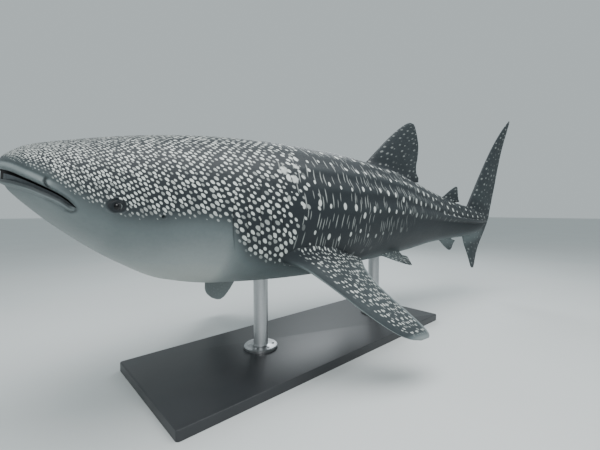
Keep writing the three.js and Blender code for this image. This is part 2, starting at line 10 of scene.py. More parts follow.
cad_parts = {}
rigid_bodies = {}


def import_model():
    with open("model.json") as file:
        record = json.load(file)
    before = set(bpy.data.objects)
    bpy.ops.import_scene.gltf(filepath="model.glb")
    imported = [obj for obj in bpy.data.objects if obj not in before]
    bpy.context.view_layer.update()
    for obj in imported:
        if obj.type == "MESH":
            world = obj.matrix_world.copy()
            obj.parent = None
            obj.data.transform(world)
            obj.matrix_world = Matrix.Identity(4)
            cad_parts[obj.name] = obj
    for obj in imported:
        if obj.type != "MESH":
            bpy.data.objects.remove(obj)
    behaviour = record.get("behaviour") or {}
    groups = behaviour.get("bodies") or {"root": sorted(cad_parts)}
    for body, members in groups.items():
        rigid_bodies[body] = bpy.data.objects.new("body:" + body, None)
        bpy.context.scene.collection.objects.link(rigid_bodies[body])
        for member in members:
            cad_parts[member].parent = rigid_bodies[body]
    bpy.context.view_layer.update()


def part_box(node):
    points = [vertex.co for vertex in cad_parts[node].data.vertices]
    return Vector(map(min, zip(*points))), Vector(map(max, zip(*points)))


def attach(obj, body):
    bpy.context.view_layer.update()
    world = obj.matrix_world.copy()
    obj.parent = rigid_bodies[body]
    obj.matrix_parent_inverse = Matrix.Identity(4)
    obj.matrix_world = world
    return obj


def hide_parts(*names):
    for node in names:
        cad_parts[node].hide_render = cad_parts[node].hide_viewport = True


# Driving sizes, in metres and in shares of the length, the same as in the solids
LENGTH = 6.0
MM = 0.001
NOSE_UP = math.radians(4.42)
BANK_LEFT = math.radians(4.01)
SNOUT_HEIGHT = 1.29
SNOUT_BEFORE_BASE_CENTRE = 1.95
BASE_SIZE = (2.7, 1.0, 0.06)
ROD_RADIUS = 0.055
ROD_STATIONS = {"front": 0.255, "rear": 0.485}
COLLAR_RADIUS = 0.13
COLLAR_HEIGHT = 0.024
COLLAR_BEVEL = 0.007
GAP = 0.0003

# The outline of the body
BACK = [
    (0, 0.0075), (0.002, 0.0125), (0.006, 0.0165), (0.015, 0.0228), (0.04, 0.032), (0.08, 0.0445),
    (0.12, 0.0545), (0.17, 0.064), (0.23, 0.072), (0.3, 0.0783), (0.38, 0.082), (0.46, 0.0808),
    (0.54, 0.0705), (0.62, 0.057), (0.7, 0.0445), (0.74, 0.0405), (0.78, 0.036), (0.815, 0.026),
]
BELLY = [
    (0, -0.0025), (0.002, -0.0062), (0.006, -0.0115), (0.015, -0.0205), (0.04, -0.041),
    (0.08, -0.0665), (0.12, -0.084), (0.17, -0.0912), (0.23, -0.0925), (0.3, -0.091),
    (0.38, -0.0803), (0.46, -0.07), (0.54, -0.0577), (0.62, -0.0415), (0.7, -0.0282),
    (0.74, -0.0225), (0.78, -0.012), (0.815, 0.008),
]
HALF_WIDTH = [
    (0, 0.03), (0.002, 0.041), (0.006, 0.052), (0.015, 0.0658), (0.04, 0.0775), (0.08, 0.0835),
    (0.12, 0.088), (0.17, 0.0932), (0.23, 0.095), (0.3, 0.0922), (0.38, 0.085), (0.46, 0.0741),
    (0.54, 0.0587), (0.62, 0.0415), (0.7, 0.0265), (0.74, 0.0205), (0.78, 0.014), (0.815, 0.004),
]
SWING = [(0.4, 0), (0.6, -0.0216), (0.76, -0.0556), (0.86, -0.0716)]
SQUARENESS = [(0, 2.7), (0.1, 2.5), (0.2, 2.25), (0.5, 2.15), (0.74, 2.0), (0.815, 2.0)]
WIDEST_SHARE = 0.46

# Raised ridges: their angle above the flank and their height along the body
RIDGES = [
    (37.5, [(0.19, 0), (0.26, 0.0016), (0.5, 0.0018), (0.62, 0)]),
    (22.5, [(0.24, 0), (0.32, 0.0016), (0.56, 0.0018), (0.68, 0)]),
    (7.5, [(0.26, 0), (0.36, 0.0018), (0.58, 0.003), (0.68, 0.009), (0.73, 0.014),
           (0.775, 0.010), (0.805, 0)]),
]
BACK_RIDGE = [(0.1, 0), (0.18, 0.0012), (0.4, 0.0016), (0.44, 0)]
RIDGE_HALF_WIDTH = 7.5

# The face
UPPER_JAW_EDGE = [
    (-0.01, 0.0036), (0.0045, 0.0016), (0.0136, -0.0021), (0.0227, -0.0062), (0.0318, -0.0108),
    (0.0365, -0.0142), (0.0405, -0.0185),
]
LOWER_JAW_EDGE = [
    (-0.01, -0.0036), (0.0045, -0.0046), (0.0136, -0.0064), (0.0227, -0.0098), (0.0318, -0.0139),
    (0.0375, -0.0177), (0.0405, -0.0187),
]
MOUTH_CORNER = 0.0405
EYE = {"station": 0.0643, "height": -0.0152, "radius": 0.0039, "sunk": 0.0022}
SPIRACLE = {"station": 0.0955, "height": -0.0205}
NOSTRIL = [(0.0234, -0.0012), (0.0230, -0.0030), (0.0235, -0.0048), (0.0248, -0.0064), (0.0262, -0.0080)]

# The gills: five flaps, each over the slit behind it
SLIT_STATIONS = [0.154, 0.1675, 0.181, 0.1935, 0.2045]
SLIT_TOPS = [0.012, 0.0155, 0.0175, 0.0175, 0.0155]
SLIT_BOTTOMS = [-0.047, -0.047, -0.044, -0.036, -0.027]
SLIT_BOW = 0.006
SLIT_TRAIL = 0.004
FLAP_PROFILE = [  # offset from the slit, shift backwards, rise above the skin, in millimetres
    (-40, 0, 0.5), (-27, 0, 2), (-17, 0.5, 4), (-9.5, 1.5, 5.6), (-4.5, 4, 6.6), (-1.2, 7, 6),
    (0.6, 7, 3), (2, -4, -7), (4.5, -6, -13), (7, 1, -12), (11, 3, -5), (17, 1, -1), (25, 0, 0),
]

# Fin outlines: span, front, rear and thickness, in shares of the length
FIRST_DORSAL = [
    (0.056, 0.43, 0.548, 0.02), (0.068, 0.434, 0.56, 0.0165), (0.0715, 0.436, 0.585, 0.0155),
    (0.078, 0.439, 0.5845, 0.0145), (0.088, 0.445, 0.576, 0.0132), (0.1, 0.455, 0.5735, 0.012),
    (0.116, 0.4705, 0.5745, 0.0105), (0.132, 0.4865, 0.574, 0.0088), (0.147, 0.503, 0.5695, 0.007),
    (0.159, 0.518, 0.563, 0.0055), (0.168, 0.531, 0.5575, 0.004), (0.1725, 0.5405, 0.5525, 0.002),
]
SECOND_DORSAL = [
    (0.032, 0.655, 0.698, 0.0095), (0.0455, 0.6565, 0.701, 0.0075), (0.048, 0.6585, 0.7135, 0.007),
    (0.0525, 0.663, 0.711, 0.0062), (0.06, 0.6715, 0.7075, 0.005), (0.068, 0.6815, 0.7055, 0.0038),
    (0.0745, 0.691, 0.7035, 0.0028), (0.078, 0.6975, 0.7015, 0.0012),
]
ANAL = [
    (-0.014, 0.662, 0.699, 0.009), (-0.0305, 0.663, 0.703, 0.007), (-0.033, 0.666, 0.7155, 0.0065),
    (-0.0375, 0.6715, 0.7125, 0.0055), (-0.0435, 0.6795, 0.7095, 0.0045),
    (-0.0495, 0.6895, 0.7075, 0.003), (-0.0535, 0.698, 0.7045, 0.0014),
]
UPPER_LOBE = [
    (0.004, 0.748, 0.812, 0.012), (0.016, 0.745, 0.8255, 0.012), (0.03, 0.7415, 0.829, 0.014),
    (0.043, 0.7425, 0.8305, 0.0145), (0.058, 0.7475, 0.8325, 0.0135), (0.08, 0.757, 0.8355, 0.012),
    (0.105, 0.7685, 0.8385, 0.0105), (0.13, 0.7805, 0.841, 0.009), (0.155, 0.7935, 0.8445, 0.0075),
    (0.18, 0.808, 0.849, 0.006), (0.205, 0.825, 0.8555, 0.0045), (0.226, 0.8415, 0.8625, 0.0035),
    (0.243, 0.857, 0.8695, 0.0024), (0.251, 0.8655, 0.8725, 0.0012),
]
LOWER_LOBE = [
    (0.02, 0.748, 0.8265, 0.01), (0.006, 0.744, 0.8225, 0.011), (-0.01, 0.7405, 0.816, 0.012),
    (-0.024, 0.7405, 0.8085, 0.0125), (-0.038, 0.7465, 0.802, 0.0105), (-0.053, 0.7575, 0.7975, 0.008),
    (-0.068, 0.7685, 0.7955, 0.0058), (-0.081, 0.777, 0.7945, 0.004), (-0.0905, 0.784, 0.793, 0.002),
]
PECTORAL = [
    (-0.35, -0.048, 0.046, 0.021), (-0.12, -0.05, 0.048, 0.0185), (0, -0.0495, 0.05, 0.017),
    (0.035, -0.0475, 0.069, 0.0165), (0.08, -0.0415, 0.0695, 0.0155), (0.16, -0.0305, 0.0655, 0.014),
    (0.26, -0.0205, 0.0645, 0.0125), (0.38, -0.0095, 0.0665, 0.011), (0.5, 0.001, 0.0725, 0.0096),
    (0.62, 0.011, 0.0795, 0.0082), (0.74, 0.0225, 0.087, 0.0068), (0.84, 0.0335, 0.0925, 0.0056),
    (0.92, 0.0455, 0.0955, 0.0044), (0.97, 0.0575, 0.0945, 0.0032), (1, 0.0715, 0.0895, 0.0016),
]
PECTORAL_ROOT = (0.2725, 0.083, -0.053)
PECTORAL_REACH = 0.1222
PECTORAL_POSES = {"left": (39, 0), "right": (54, 28)}  # degrees hung and turned forward
PELVIC = [
    (-0.7, -0.027, 0.024, 0.0085), (0, -0.0265, 0.026, 0.0068), (0.12, -0.0245, 0.037, 0.0064),
    (0.3, -0.017, 0.0375, 0.0056), (0.52, -0.0055, 0.036, 0.0046), (0.76, 0.0095, 0.0355, 0.0034),
    (0.93, 0.0225, 0.0345, 0.0022), (1, 0.029, 0.033, 0.0012),
]
PELVIC_ROOT = (0.468, 0.046, -0.0585)
PELVIC_REACH = 0.021
PELVIC_POSE = (42, 2)
SIDES = {"left": -1, "right": 1}

# The lower border of the spotted skin, in side view
SPOT_BORDER = [
    (0, 0.0125), (0.0091, 0.0110), (0.0227, 0.0062), (0.0364, -0.0035), (0.0455, -0.0085),
    (0.0577, -0.0127), (0.067, -0.0172), (0.0848, -0.0178), (0.1231, -0.0146), (0.1492, -0.0176),
    (0.1596, -0.0319), (0.1736, -0.0454), (0.1944, -0.0538), (0.2240, -0.0594), (0.3, -0.062),
    (0.4, -0.054), (0.5, -0.044), (0.6, -0.03), (0.7, -0.016), (0.8, 0.0),
]
# Where its distance from the back is worked out
BORDER_STATIONS = [
    0.0, 0.004, 0.009, 0.015, 0.0227, 0.03, 0.0364, 0.0455, 0.0552, 0.07, 0.0848, 0.105, 0.1231, 0.14,
    0.1492, 0.1596, 0.1736, 0.1944, 0.224, 0.3, 0.4, 0.5, 0.6, 0.7, 0.8,
]

# Material numbers on the skin
BODY_SKIN, FIN_SKIN, MOUTH_LINING, INNER_LIP = 0, 1, 2, 3


def curve(points):
    """A function through the points that keeps their rises and falls, with no overshoot."""
    xs, ys = np.array(points, float).T
    steps = np.diff(ys) / np.diff(xs)
    slopes = np.concatenate([steps[:1], np.zeros(len(xs) - 2), steps[-1:]])
    before, after = steps[:-1], steps[1:]
    same = before * after > 0
    slopes[1:-1][same] = (2 * before * after)[same] / (before + after)[same]

    def at(x):
        x = np.clip(x, xs[0], xs[-1])
        i = np.clip(np.searchsorted(xs, x, side="right") - 1, 0, len(steps) - 1)
        width = xs[i + 1] - xs[i]
        t = (x - xs[i]) / width
        rise = ys[i + 1] - ys[i]
        a = slopes[i] * width
        b = slopes[i + 1] * width
        return ys[i] + t * (a + t * (3 * rise - 2 * a - b + t * (a + b - 2 * rise)))

    return at


back = curve(BACK)
belly = curve(BELLY)
half_width = curve(HALF_WIDTH)
swing = curve(SWING)
squareness = curve(SQUARENESS)
back_ridge = curve(BACK_RIDGE)
ridges = [(angle, curve(height)) for angle, height in RIDGES]
upper_edge = curve(UPPER_JAW_EDGE)
lower_edge = curve(LOWER_JAW_EDGE)
spot_border = curve(SPOT_BORDER)


def hill(t):
    """A round hill from -1 to 1, with its top of 1 at 0."""
    return np.where(np.abs(t) < 1, np.cos(np.clip(t, -1, 1) * math.pi / 2) ** 2, 0)


def bell(distance, width):
    return np.exp(-((distance / width) ** 2))


def ramp(x, low, high):
    """Rises softly from 0 at low to 1 at high; low may be the larger of the two."""
    t = np.clip((x - low) / (high - low), 0, 1)
    return t * t * (3 - 2 * t)


def ridge_rise(station, angle):
    rise = back_ridge(station) * hill((90 - angle) / RIDGE_HALF_WIDTH)
    for ridge_angle, height in ridges:
        rise = rise + height(station) * hill((angle - ridge_angle) / RIDGE_HALF_WIDTH)
    return rise


def levels(station):
    """The heights of the belly, of the widest place and of the back at a station."""
    low, high = belly(station), back(station)
    return low, low + (high - low) * WIDEST_SHARE, high


def side_view(points):
    """The station and the height of points, in shares of the length."""
    return points[:, 0] / LENGTH, points[:, 2] / LENGTH


def skin_point(station, degrees):
    """Skin at angle 0 for the left flank, 90 for the back, 180 for the right flank, -90 below."""
    up = np.sin(np.radians(degrees))
    out = -np.cos(np.radians(degrees))
    power = 2 / squareness(station)
    low, middle, high = levels(station)
    reach = np.where(up > 0, high - middle, middle - low)
    rise = ridge_rise(station, np.degrees(np.arcsin(np.clip(up, -1, 1))))
    y = np.sign(out) * (half_width(station) * np.abs(out) ** power + rise * np.abs(out))
    z = middle + np.sign(up) * (reach * np.abs(up) ** power + rise * np.abs(up))
    return LENGTH * np.stack([station + 0 * y, y + swing(station), z], -1)


def flank_point(station, height, side):
    """A point on the plain flank at a height, on the left (-1) or the right (+1) side."""
    low, middle, high = levels(station)
    reach = np.where(height > middle, high - middle, middle - low)
    share = np.clip(np.abs(height - middle) / reach, 0, 1)
    power = squareness(station)
    y = half_width(station) * (1 - share ** power) ** (1 / power)
    return LENGTH * np.stack([station + 0 * y, side * y + swing(station), height + 0 * y], -1)


def outwards(station, height, side):
    """The outward direction of the flank at a place."""
    step = 0.002
    along = flank_point(station + step, height, side) - flank_point(station - step, height, side)
    up = flank_point(station, height + step, side) - flank_point(station, height - step, side)
    normal = np.cross(along, up)
    normal /= np.linalg.norm(normal)
    return normal if normal[1] * side > 0 else -normal


def outside(points):
    """Rough distance of points outside the plain body, in metres; negative inside it."""
    station = points[..., 0] / LENGTH
    y = points[..., 1] / LENGTH - swing(station)
    low, middle, high = levels(station)
    z = points[..., 2] / LENGTH - middle
    reach = np.where(z > 0, high - middle, middle - low)
    power = squareness(station)
    level = (np.abs(y / half_width(station)) ** power + np.abs(z / reach) ** power) ** (1 / power)
    return LENGTH * np.hypot(y, z) * (1 - 1 / np.maximum(level, 1e-3))


# The body as a fine grid of rings: stretches with their start, end and step
COLUMN_STRETCHES = [(-90, -33, 2.85), (-33, 46.5, 1.5), (46.5, 89, 2.9)]  # degrees, up one side
RING_STRETCHES = [
    (0, 0.01, 0.0006), (0.01, 0.075, 0.0015), (0.075, 0.146, 0.0022), (0.21, 0.6, 0.006),
    (0.6, 0.813, 0.0045),
]


def stepped(stretches):
    return np.concatenate([np.arange(*stretch) for stretch in stretches])


def column_angles():
    """Angles round a ring from the belly up the left side and down the right side."""
    rising = stepped(COLUMN_STRETCHES)
    return np.concatenate([rising, [90], 180 - rising[:0:-1]])


def ring_stations():
    """Each ring's station with the shift and rise of a gill flap, in metres."""
    rows = [(station, 0, 0) for station in stepped(RING_STRETCHES)]
    for slit in SLIT_STATIONS:
        rows += [(slit + d * MM / LENGTH, dx * MM, rise * MM) for d, dx, rise in FLAP_PROFILE]
    rows.sort()
    return np.array(rows)


slit_top = curve(list(zip(SLIT_STATIONS, SLIT_TOPS)))
slit_bottom = curve(list(zip(SLIT_STATIONS, SLIT_BOTTOMS)))
GILLS_BEGIN = (0.138, 0.15)
GILLS_END = (0.222, 0.209)
FLAP_ENDS = 0.6  # power that rounds off the upper and the lower end of a flap


def body_rings():
    """Points of all rings, and for each the station and the distance round from the back."""
    rows = ring_stations()
    angles = column_angles()
    station = np.repeat(rows[:, :1], len(angles), 1)
    degrees = np.repeat(angles[None, :], len(rows), 0)
    height = skin_point(station, degrees)[..., 2] / LENGTH
    share = np.clip((height - slit_top(station)) / (slit_bottom(station) - slit_top(station)), 0, 1)
    zone = ramp(station, *GILLS_BEGIN) * ramp(station, *GILLS_END)
    station = station + zone * (SLIT_TRAIL * share - SLIT_BOW * 4 * share * (1 - share))
    points = skin_point(station, degrees)
    open_share = np.sin(math.pi * share) ** FLAP_ENDS
    out = np.stack([0 * degrees, -np.cos(np.radians(degrees)), np.sin(np.radians(degrees))], -1)
    points[..., 0] += rows[:, 1:2] * open_share
    points += out * (rows[:, 2:3] * open_share)[..., None]
    closed = np.concatenate([points, points[:, :1]], 1)
    steps = np.linalg.norm(np.diff(closed, axis=1), axis=2)
    reached = np.concatenate([np.zeros((len(rows), 1)), np.cumsum(steps, 1)], 1)
    girth = reached[:, list(angles).index(90)][:, None] - reached
    return points, station, girth


NOSE_SHARES = [0.35, 0.62, 0.82, 0.94]
NOSE_BULGE = 0.009
NOSE_PATTERN = 0.03  # how far the markings' first coordinate runs on over the nose


def nose_rings(first):
    """Shrinking rings that close the front of the upper lip with a shallow dome."""
    centre = first.mean(0)
    rings = [centre + (first - centre) * share for share in NOSE_SHARES]
    for ring, share in zip(rings, NOSE_SHARES):
        ring[:, 0] -= NOSE_BULGE * math.sqrt(1 - share ** 2)
    pole = centre - np.array([NOSE_BULGE, 0, 0])
    return rings, pole


def grid_object(name, points, pattern, poles, material):
    """A closed object of rings of points, with pattern coordinates and a fan on each end."""
    rings, around = points.shape[:2]
    vertices = [tuple(p) for p in points.reshape(-1, 3)] + [tuple(p) for p in poles]
    faces, uvs = [], []
    for i in range(rings - 1):
        for j in range(around):
            k = (j + 1) % around
            a, b = i * around, (i + 1) * around
            faces.append((a + j, b + j, b + k, a + k))
            uvs += [pattern[i, j], pattern[i + 1, j], pattern[i + 1, j + 1], pattern[i, j + 1]]
    last = (rings - 1) * around
    front, end = rings * around, rings * around + 1
    for j in range(around):
        k = (j + 1) % around
        faces.append((front, j, k))
        uvs += [pattern[0, j], pattern[0, j], pattern[0, j + 1]]
        faces.append((end, last + k, last + j))
        uvs += [pattern[-1, j], pattern[-1, j + 1], pattern[-1, j]]
    return mesh_object(name, vertices, faces, uvs, material)


def new_object(name, data):
    obj = bpy.data.objects.new(name, data)
    bpy.context.scene.collection.objects.link(obj)
    return obj


def mesh_object(name, vertices, faces, uvs, material):
    """A piece of skin with its pattern coordinates, in one of the skin's finishes."""
    mesh = bpy.data.meshes.new(name)
    mesh.from_pydata(vertices, [], faces)
    dress(mesh, uvs, material)
    return new_object(name, mesh)


def dress(mesh, uvs, material):
    layer = mesh.uv_layers.new(name="Pattern")
    layer.data.foreach_set("uv", np.array(uvs, float).ravel())
    mesh.polygons.foreach_set("material_index", [material] * len(mesh.polygons))
    for finish in skin_finishes:
        mesh.materials.append(finish)


def body_object():
    """The plain body with its gill flaps, and with the girth as the second pattern coordinate."""
    points, station, girth = body_rings()
    rings, pole = nose_rings(points[0])
    points = np.concatenate([np.array(rings), points])
    nose_x = [-NOSE_PATTERN * (1 - share) for share in NOSE_SHARES]
    x = np.concatenate([np.repeat(np.array(nose_x)[:, None], girth.shape[1], 1),
                        np.repeat(LENGTH * station[:, :1], girth.shape[1], 1)])
    x[len(rings):, :-1] = LENGTH * station
    x[len(rings):, -1] = LENGTH * station[:, 0]
    g = np.concatenate([np.array([girth[0] * share for share in NOSE_SHARES]), girth])
    return grid_object("whale_shark_skin", points, np.stack([x, g], -1),
                       [pole, points[-1].mean(0)], BODY_SKIN)


def refine(obj, chosen, cuts):
    """Divides the edges between the chosen vertices."""
    bm = bmesh.new()
    bm.from_mesh(obj.data)
    flags = chosen(np.array([v.co for v in bm.verts]))
    edges = [e for e in bm.edges if flags[e.verts[0].index] and flags[e.verts[1].index]]
    bmesh.ops.subdivide_edges(bm, edges=edges, cuts=cuts, use_grid_fill=True)
    bmesh.ops.triangulate(bm, faces=[f for f in bm.faces if len(f.verts) > 4])
    bm.to_mesh(obj.data)
    bm.free()


# Where the grid is divided more finely
FINE_MOUTH_END = 0.047
FINE_LIP = 0.0085
FINE_NOSTRIL = (0.0240, -0.004, 0.006, 0.008)  # station, height, half length, half height
FINE_EYE = (EYE["station"], EYE["height"], 0.0115, 0.0105)
FINE_SPIRACLE = (SPIRACLE["station"], SPIRACLE["height"], 0.005, 0.005)


def in_box(points, station, height, half_length, half_height):
    s, z = side_view(points)
    return (np.abs(s - station) < half_length) & (np.abs(z - height) < half_height)


def near_mouth(points):
    s, z = side_view(points)
    by_lips = (z > lower_edge(s) - FINE_LIP) & (z < upper_edge(s) + FINE_LIP)
    return in_box(points, *FINE_NOSTRIL) | (s < FINE_MOUTH_END) & by_lips


def near_eye(points):
    return in_box(points, *FINE_EYE) | in_box(points, *FINE_SPIRACLE)


def vertex_arrays(mesh):
    points = np.empty(len(mesh.vertices) * 3)
    normals = np.empty(len(mesh.vertices) * 3)
    mesh.vertices.foreach_get("co", points)
    mesh.vertex_normals.foreach_get("vector", normals)
    return points.reshape(-1, 3), normals.reshape(-1, 3)


def off_line(s, z, line):
    """Distance in metres of side-view points from a line of points, and the share along it."""
    best = np.full(s.shape, 1e9)
    share = np.zeros(s.shape)
    for i, (a, b) in enumerate(zip(line[:-1], line[1:])):
        a, b = np.array(a), np.array(b)
        t = np.clip(((s - a[0]) * (b - a)[0] + (z - a[1]) * (b - a)[1]) / ((b - a) @ (b - a)), 0, 1)
        d = np.hypot(s - a[0] - t * (b - a)[0], z - a[1] - t * (b - a)[1]) * LENGTH
        closer = d < best
        best = np.where(closer, d, best)
        share = np.where(closer, (i + t) / (len(line) - 1), share)
    return best, share


def off_lips(s, z):
    """Distances in metres above the upper and below the lower edge of the mouth."""
    return (z - upper_edge(s)) * LENGTH, (lower_edge(s) - z) * LENGTH


# Lips and the furrow beyond each: rise and width in millimetres, distance from the edge in metres
UPPER_LIP = [(7.5, 0.0095, 0.013), (-3, 0.007, 0.034)]
LOWER_LIP = [(8, 0.009, 0.012), (-3, 0.007, 0.031)]
LIP_ROLL = (10, 3.5)  # depth and width in millimetres of the edge that rolls inwards
LIP_CLOSES = (MOUTH_CORNER + 0.002, MOUTH_CORNER - 0.005)
UPPER_LIP_THINS = (0.0255, 0.0315, 0.6)  # start, end and the share it loses behind the nostril


def lip_relief(s, z):
    """Lips round the mouth, with a furrow beyond each."""
    above, below = off_lips(s, z)
    edge = np.maximum(np.maximum(above, below), 0)
    depth, width = LIP_ROLL
    rise = -depth * MM * np.exp(-edge / (width * MM))
    start, end, loss = UPPER_LIP_THINS
    behind = 1 - loss * ramp(s, start, end)
    rise += behind * sum(height * MM * bell(above - place, width) for height, width, place in UPPER_LIP)
    rise += sum(height * MM * bell(below - place, width) for height, width, place in LOWER_LIP)
    return rise * ramp(s, *LIP_CLOSES)


# Folds: a line in side view, its depth and its width in millimetres, its start and share of a wave
CORNER_FOLDS = [
    ([(0.0398, -0.0184), (0.0408, -0.0196), (0.0405, -0.0212), (0.0385, -0.0222), (0.0352, -0.0212)],
     5.0, 4.5, 0.12, 0.8),
    ([(0.0360, -0.0216), (0.0310, -0.0186), (0.0250, -0.0150)], 2.4, 5.0, 0.12, 0.8),
    ([(0.0270, -0.0052), (0.0330, -0.0084), (0.0390, -0.0124), (0.0430, -0.0165)], 2.2, 6.0, 0.12, 0.8),
]
NOSTRIL_FOLD = (NOSTRIL, 14, 4.2, 0.15, 0.7)
NOSTRIL_FLAP = {"behind": 0.0022, "rise": 4, "width": 9}


def fold_relief(s, z):
    """The folds at the corner of the mouth, the nostril's slit and the flap behind it."""
    rise = np.zeros(s.shape)
    for line, depth, width, start, part in [*CORNER_FOLDS, NOSTRIL_FOLD]:
        distance, share = off_line(s, z, line)
        rise -= depth * MM * bell(distance, width * MM) * np.sin(math.pi * (start + part * share))
    flap = [(station + NOSTRIL_FLAP["behind"], height) for station, height in NOSTRIL[1:3]]
    distance, _ = off_line(s, z, flap)
    return rise + NOSTRIL_FLAP["rise"] * MM * bell(distance, NOSTRIL_FLAP["width"] * MM)


def eye_place(side):
    centre = flank_point(EYE["station"], EYE["height"], side)
    return centre, outwards(EYE["station"], EYE["height"], side)


AXIS_REACH = 0.12  # a hole's rings reach no deeper, so that the other side of the head is left out
FAR_AWAY = 9.0


def around_axis(points, centre, axis):
    """Distance from an axis, and the angle round it from straight up towards the tail."""
    offset = points - centre
    flat = offset - (offset @ axis)[:, None] * axis
    near = np.abs(offset @ axis) < AXIS_REACH
    distance = np.where(near, np.linalg.norm(flat, axis=1), FAR_AWAY)
    return distance, np.arctan2(flat[:, 0], flat[:, 2])


# Rings round the eye: radius in eyeballs, rise below and above the eye and width in millimetres
EYE_LID = (1.02, 1.5, 4.5, 4.5)
EYE_FOLDS = [(1.26, -1.4, -4, 4), (1.52, 1, 5.5, 5), (1.80, 0, -2.4, 3.4), (2.04, 0, 1.6, 4)]
EYE_MOUND = (5, 75)  # rise and width in millimetres
LID_OVAL = 0.10
FOLD_OVAL = 0.16
UNEVEN = (0.05, 0.03)


def eye_relief(points):
    """Lids close round each eyeball, a brow above it, a soft hollow and fine creases round it."""
    rise = np.zeros(len(points))
    eyeball = EYE["radius"] * LENGTH
    for side in SIDES.values():
        centre, axis = eye_place(side)
        distance, angle = around_axis(points, centre, axis)
        upper = 0.5 + 0.5 * np.cos(angle)
        ahead = 0.5 - 0.5 * np.sin(angle)
        uneven = 1 + UNEVEN[0] * np.sin(3 * angle + side) + UNEVEN[1] * np.sin(7 * angle)
        lid = distance * (1 + LID_OVAL * np.cos(2 * angle)) * uneven
        fold = distance * (1 + FOLD_OVAL * np.cos(2 * angle) - FOLD_OVAL * ahead) * uneven
        rings = [(lid, EYE_LID)] + [(fold, ring) for ring in EYE_FOLDS]
        for away, (radius, lower, higher, width) in rings:
            height = (lower + (higher - lower) * upper) * MM
            rise += height * bell(away - eyeball * radius, width * MM)
        rise += EYE_MOUND[0] * MM * bell(distance, EYE_MOUND[1] * MM)
    return rise


# The spiracle's rim and hole: rise, radius and width in millimetres
SPIRACLE_RINGS = [(3.5, 15, 5), (-16, 0, 8)]
SPIRACLE_STRETCH = 0.45


def spiracle_relief(points):
    """The small breathing hole behind each eye."""
    rise = np.zeros(len(points))
    for side in SIDES.values():
        place = (SPIRACLE["station"], SPIRACLE["height"], side)
        distance, angle = around_axis(points, flank_point(*place), outwards(*place))
        stretched = distance * (1 + SPIRACLE_STRETCH * np.cos(angle) ** 2)
        rise += sum(height * MM * bell(stretched - radius * MM, width * MM)
                    for height, radius, width in SPIRACLE_RINGS)
    return rise


def carve_face(obj):
    points, normals = vertex_arrays(obj.data)
    s, z = side_view(points)
    rise = lip_relief(s, z) + fold_relief(s, z) + eye_relief(points) + spiracle_relief(points)
    obj.data.vertices.foreach_set("co", (points + normals * rise[:, None]).ravel())
    obj.data.update()


# Fins
CHORD_SHARES = (1 - np.cos(np.linspace(0, math.pi, 19))) / 2
CHORD_THICKNESS = curve([
    (0, 0), (0.07, 0.17), (0.2236, 0.5), (0.412, 0.86), (0.6, 1), (0.775, 0.78), (0.917, 0.4),
    (1, 0.05),
])
REAR_EDGE = 0.0003
FIN_ROWS_PER_SECTION = 4
FRAY = 0.0002
FRAY_WAVES = [(1, 410, 1), (1, 977, 2.3), (0.7, 1741, 4.1)]  # share, waves and shift by seed
FRAY_AT_REAR = 8  # power that keeps the waves to the rear edge
ROOT_FADE = 1.1
ROOT_SPREAD = (-1.3, 0.3)  # how far the root runs on ahead and behind
PATTERN_STEP = 10.0  # between the fins, in the markings' second coordinate
PATTERN_OTHER_FACE = 4


def fin_object(name, sections, place, seed, flare):
    """A fin as a loft of lens-shaped sections that flares where it leaves the body."""
    rows = np.arange(len(sections))
    dense = np.linspace(0, rows[-1], rows[-1] * FIN_ROWS_PER_SECTION + 1)
    columns = [curve(list(zip(rows, column)))(dense) for column in np.array(sections).T]
    span, lead, trail, thick = [column[:, None] for column in columns]
    shares = np.concatenate([CHORD_SHARES, CHORD_SHARES[:0:-1]])
    face = np.concatenate([np.ones(len(CHORD_SHARES)), -np.ones(len(CHORD_SHARES) - 1)])
    face[0] = 0
    form = CHORD_THICKNESS(np.sqrt(shares))
    fray = FRAY * sum(part * np.sin(span * waves + shift * seed) for part, waves, shift in FRAY_WAVES)
    spread = (trail - lead) * shares + fray * shares ** FRAY_AT_REAR
    half = np.maximum(thick * form, REAR_EDGE) / 2 * face
    span = span + 0 * half
    points = place(lead + spread, half, span)
    swell = flare * MM / LENGTH * np.exp(-np.maximum(outside(points), 0) / (ROOT_FADE * flare * MM))
    reach = np.where(shares < 0.5, *ROOT_SPREAD) * np.abs(1 - 2 * shares) ** 3
    points = place(lead + spread + swell * reach, half + swell * face * np.minimum(1, 1.4 * form), span)
    across = np.concatenate([[0], np.cumsum(np.linalg.norm(np.diff(points[:, 0], axis=0), axis=1))])
    u = spread * LENGTH
    u = np.concatenate([u, u[:, :1]], 1)
    v = across[:, None] + 0 * u + PATTERN_STEP * (seed + 1)
    v[:, len(CHORD_SHARES):] += PATTERN_OTHER_FACE
    obj = grid_object(name, points, np.stack([u, v], -1), end_centres(points), FIN_SKIN)
    turn_outwards(obj)
    return obj


def end_centres(points):
    return [points[0].mean(0), points[-1].mean(0)]


def turn_outwards(obj):
    bm = bmesh.new()
    bm.from_mesh(obj.data)
    bmesh.ops.triangulate(bm, faces=bm.faces)
    if bm.calc_volume(signed=True) < 0:
        bmesh.ops.reverse_faces(bm, faces=bm.faces)
    bm.to_mesh(obj.data)
    bm.free()


def upright(along, across, span):
    return LENGTH * np.stack([along, across + swing(along), span], -1)


def paired_axes(side, pose):
    """The directions of chord, span and face of a paired fin, by how it hangs and turns."""
    hang, forward = [math.radians(angle) for angle in pose]
    rearwards = np.array([1.0, 0.0, 0.0])
    down = np.array([0.0, side * math.cos(hang), -math.sin(hang)])
    chord = rearwards * math.cos(forward) + down * math.sin(forward)
    span = down * math.cos(forward) - rearwards * math.sin(forward)
    return chord, span, side * np.cross(rearwards, down)


def on_side(root, side):
    return np.array([root[0], side * root[1], root[2]])


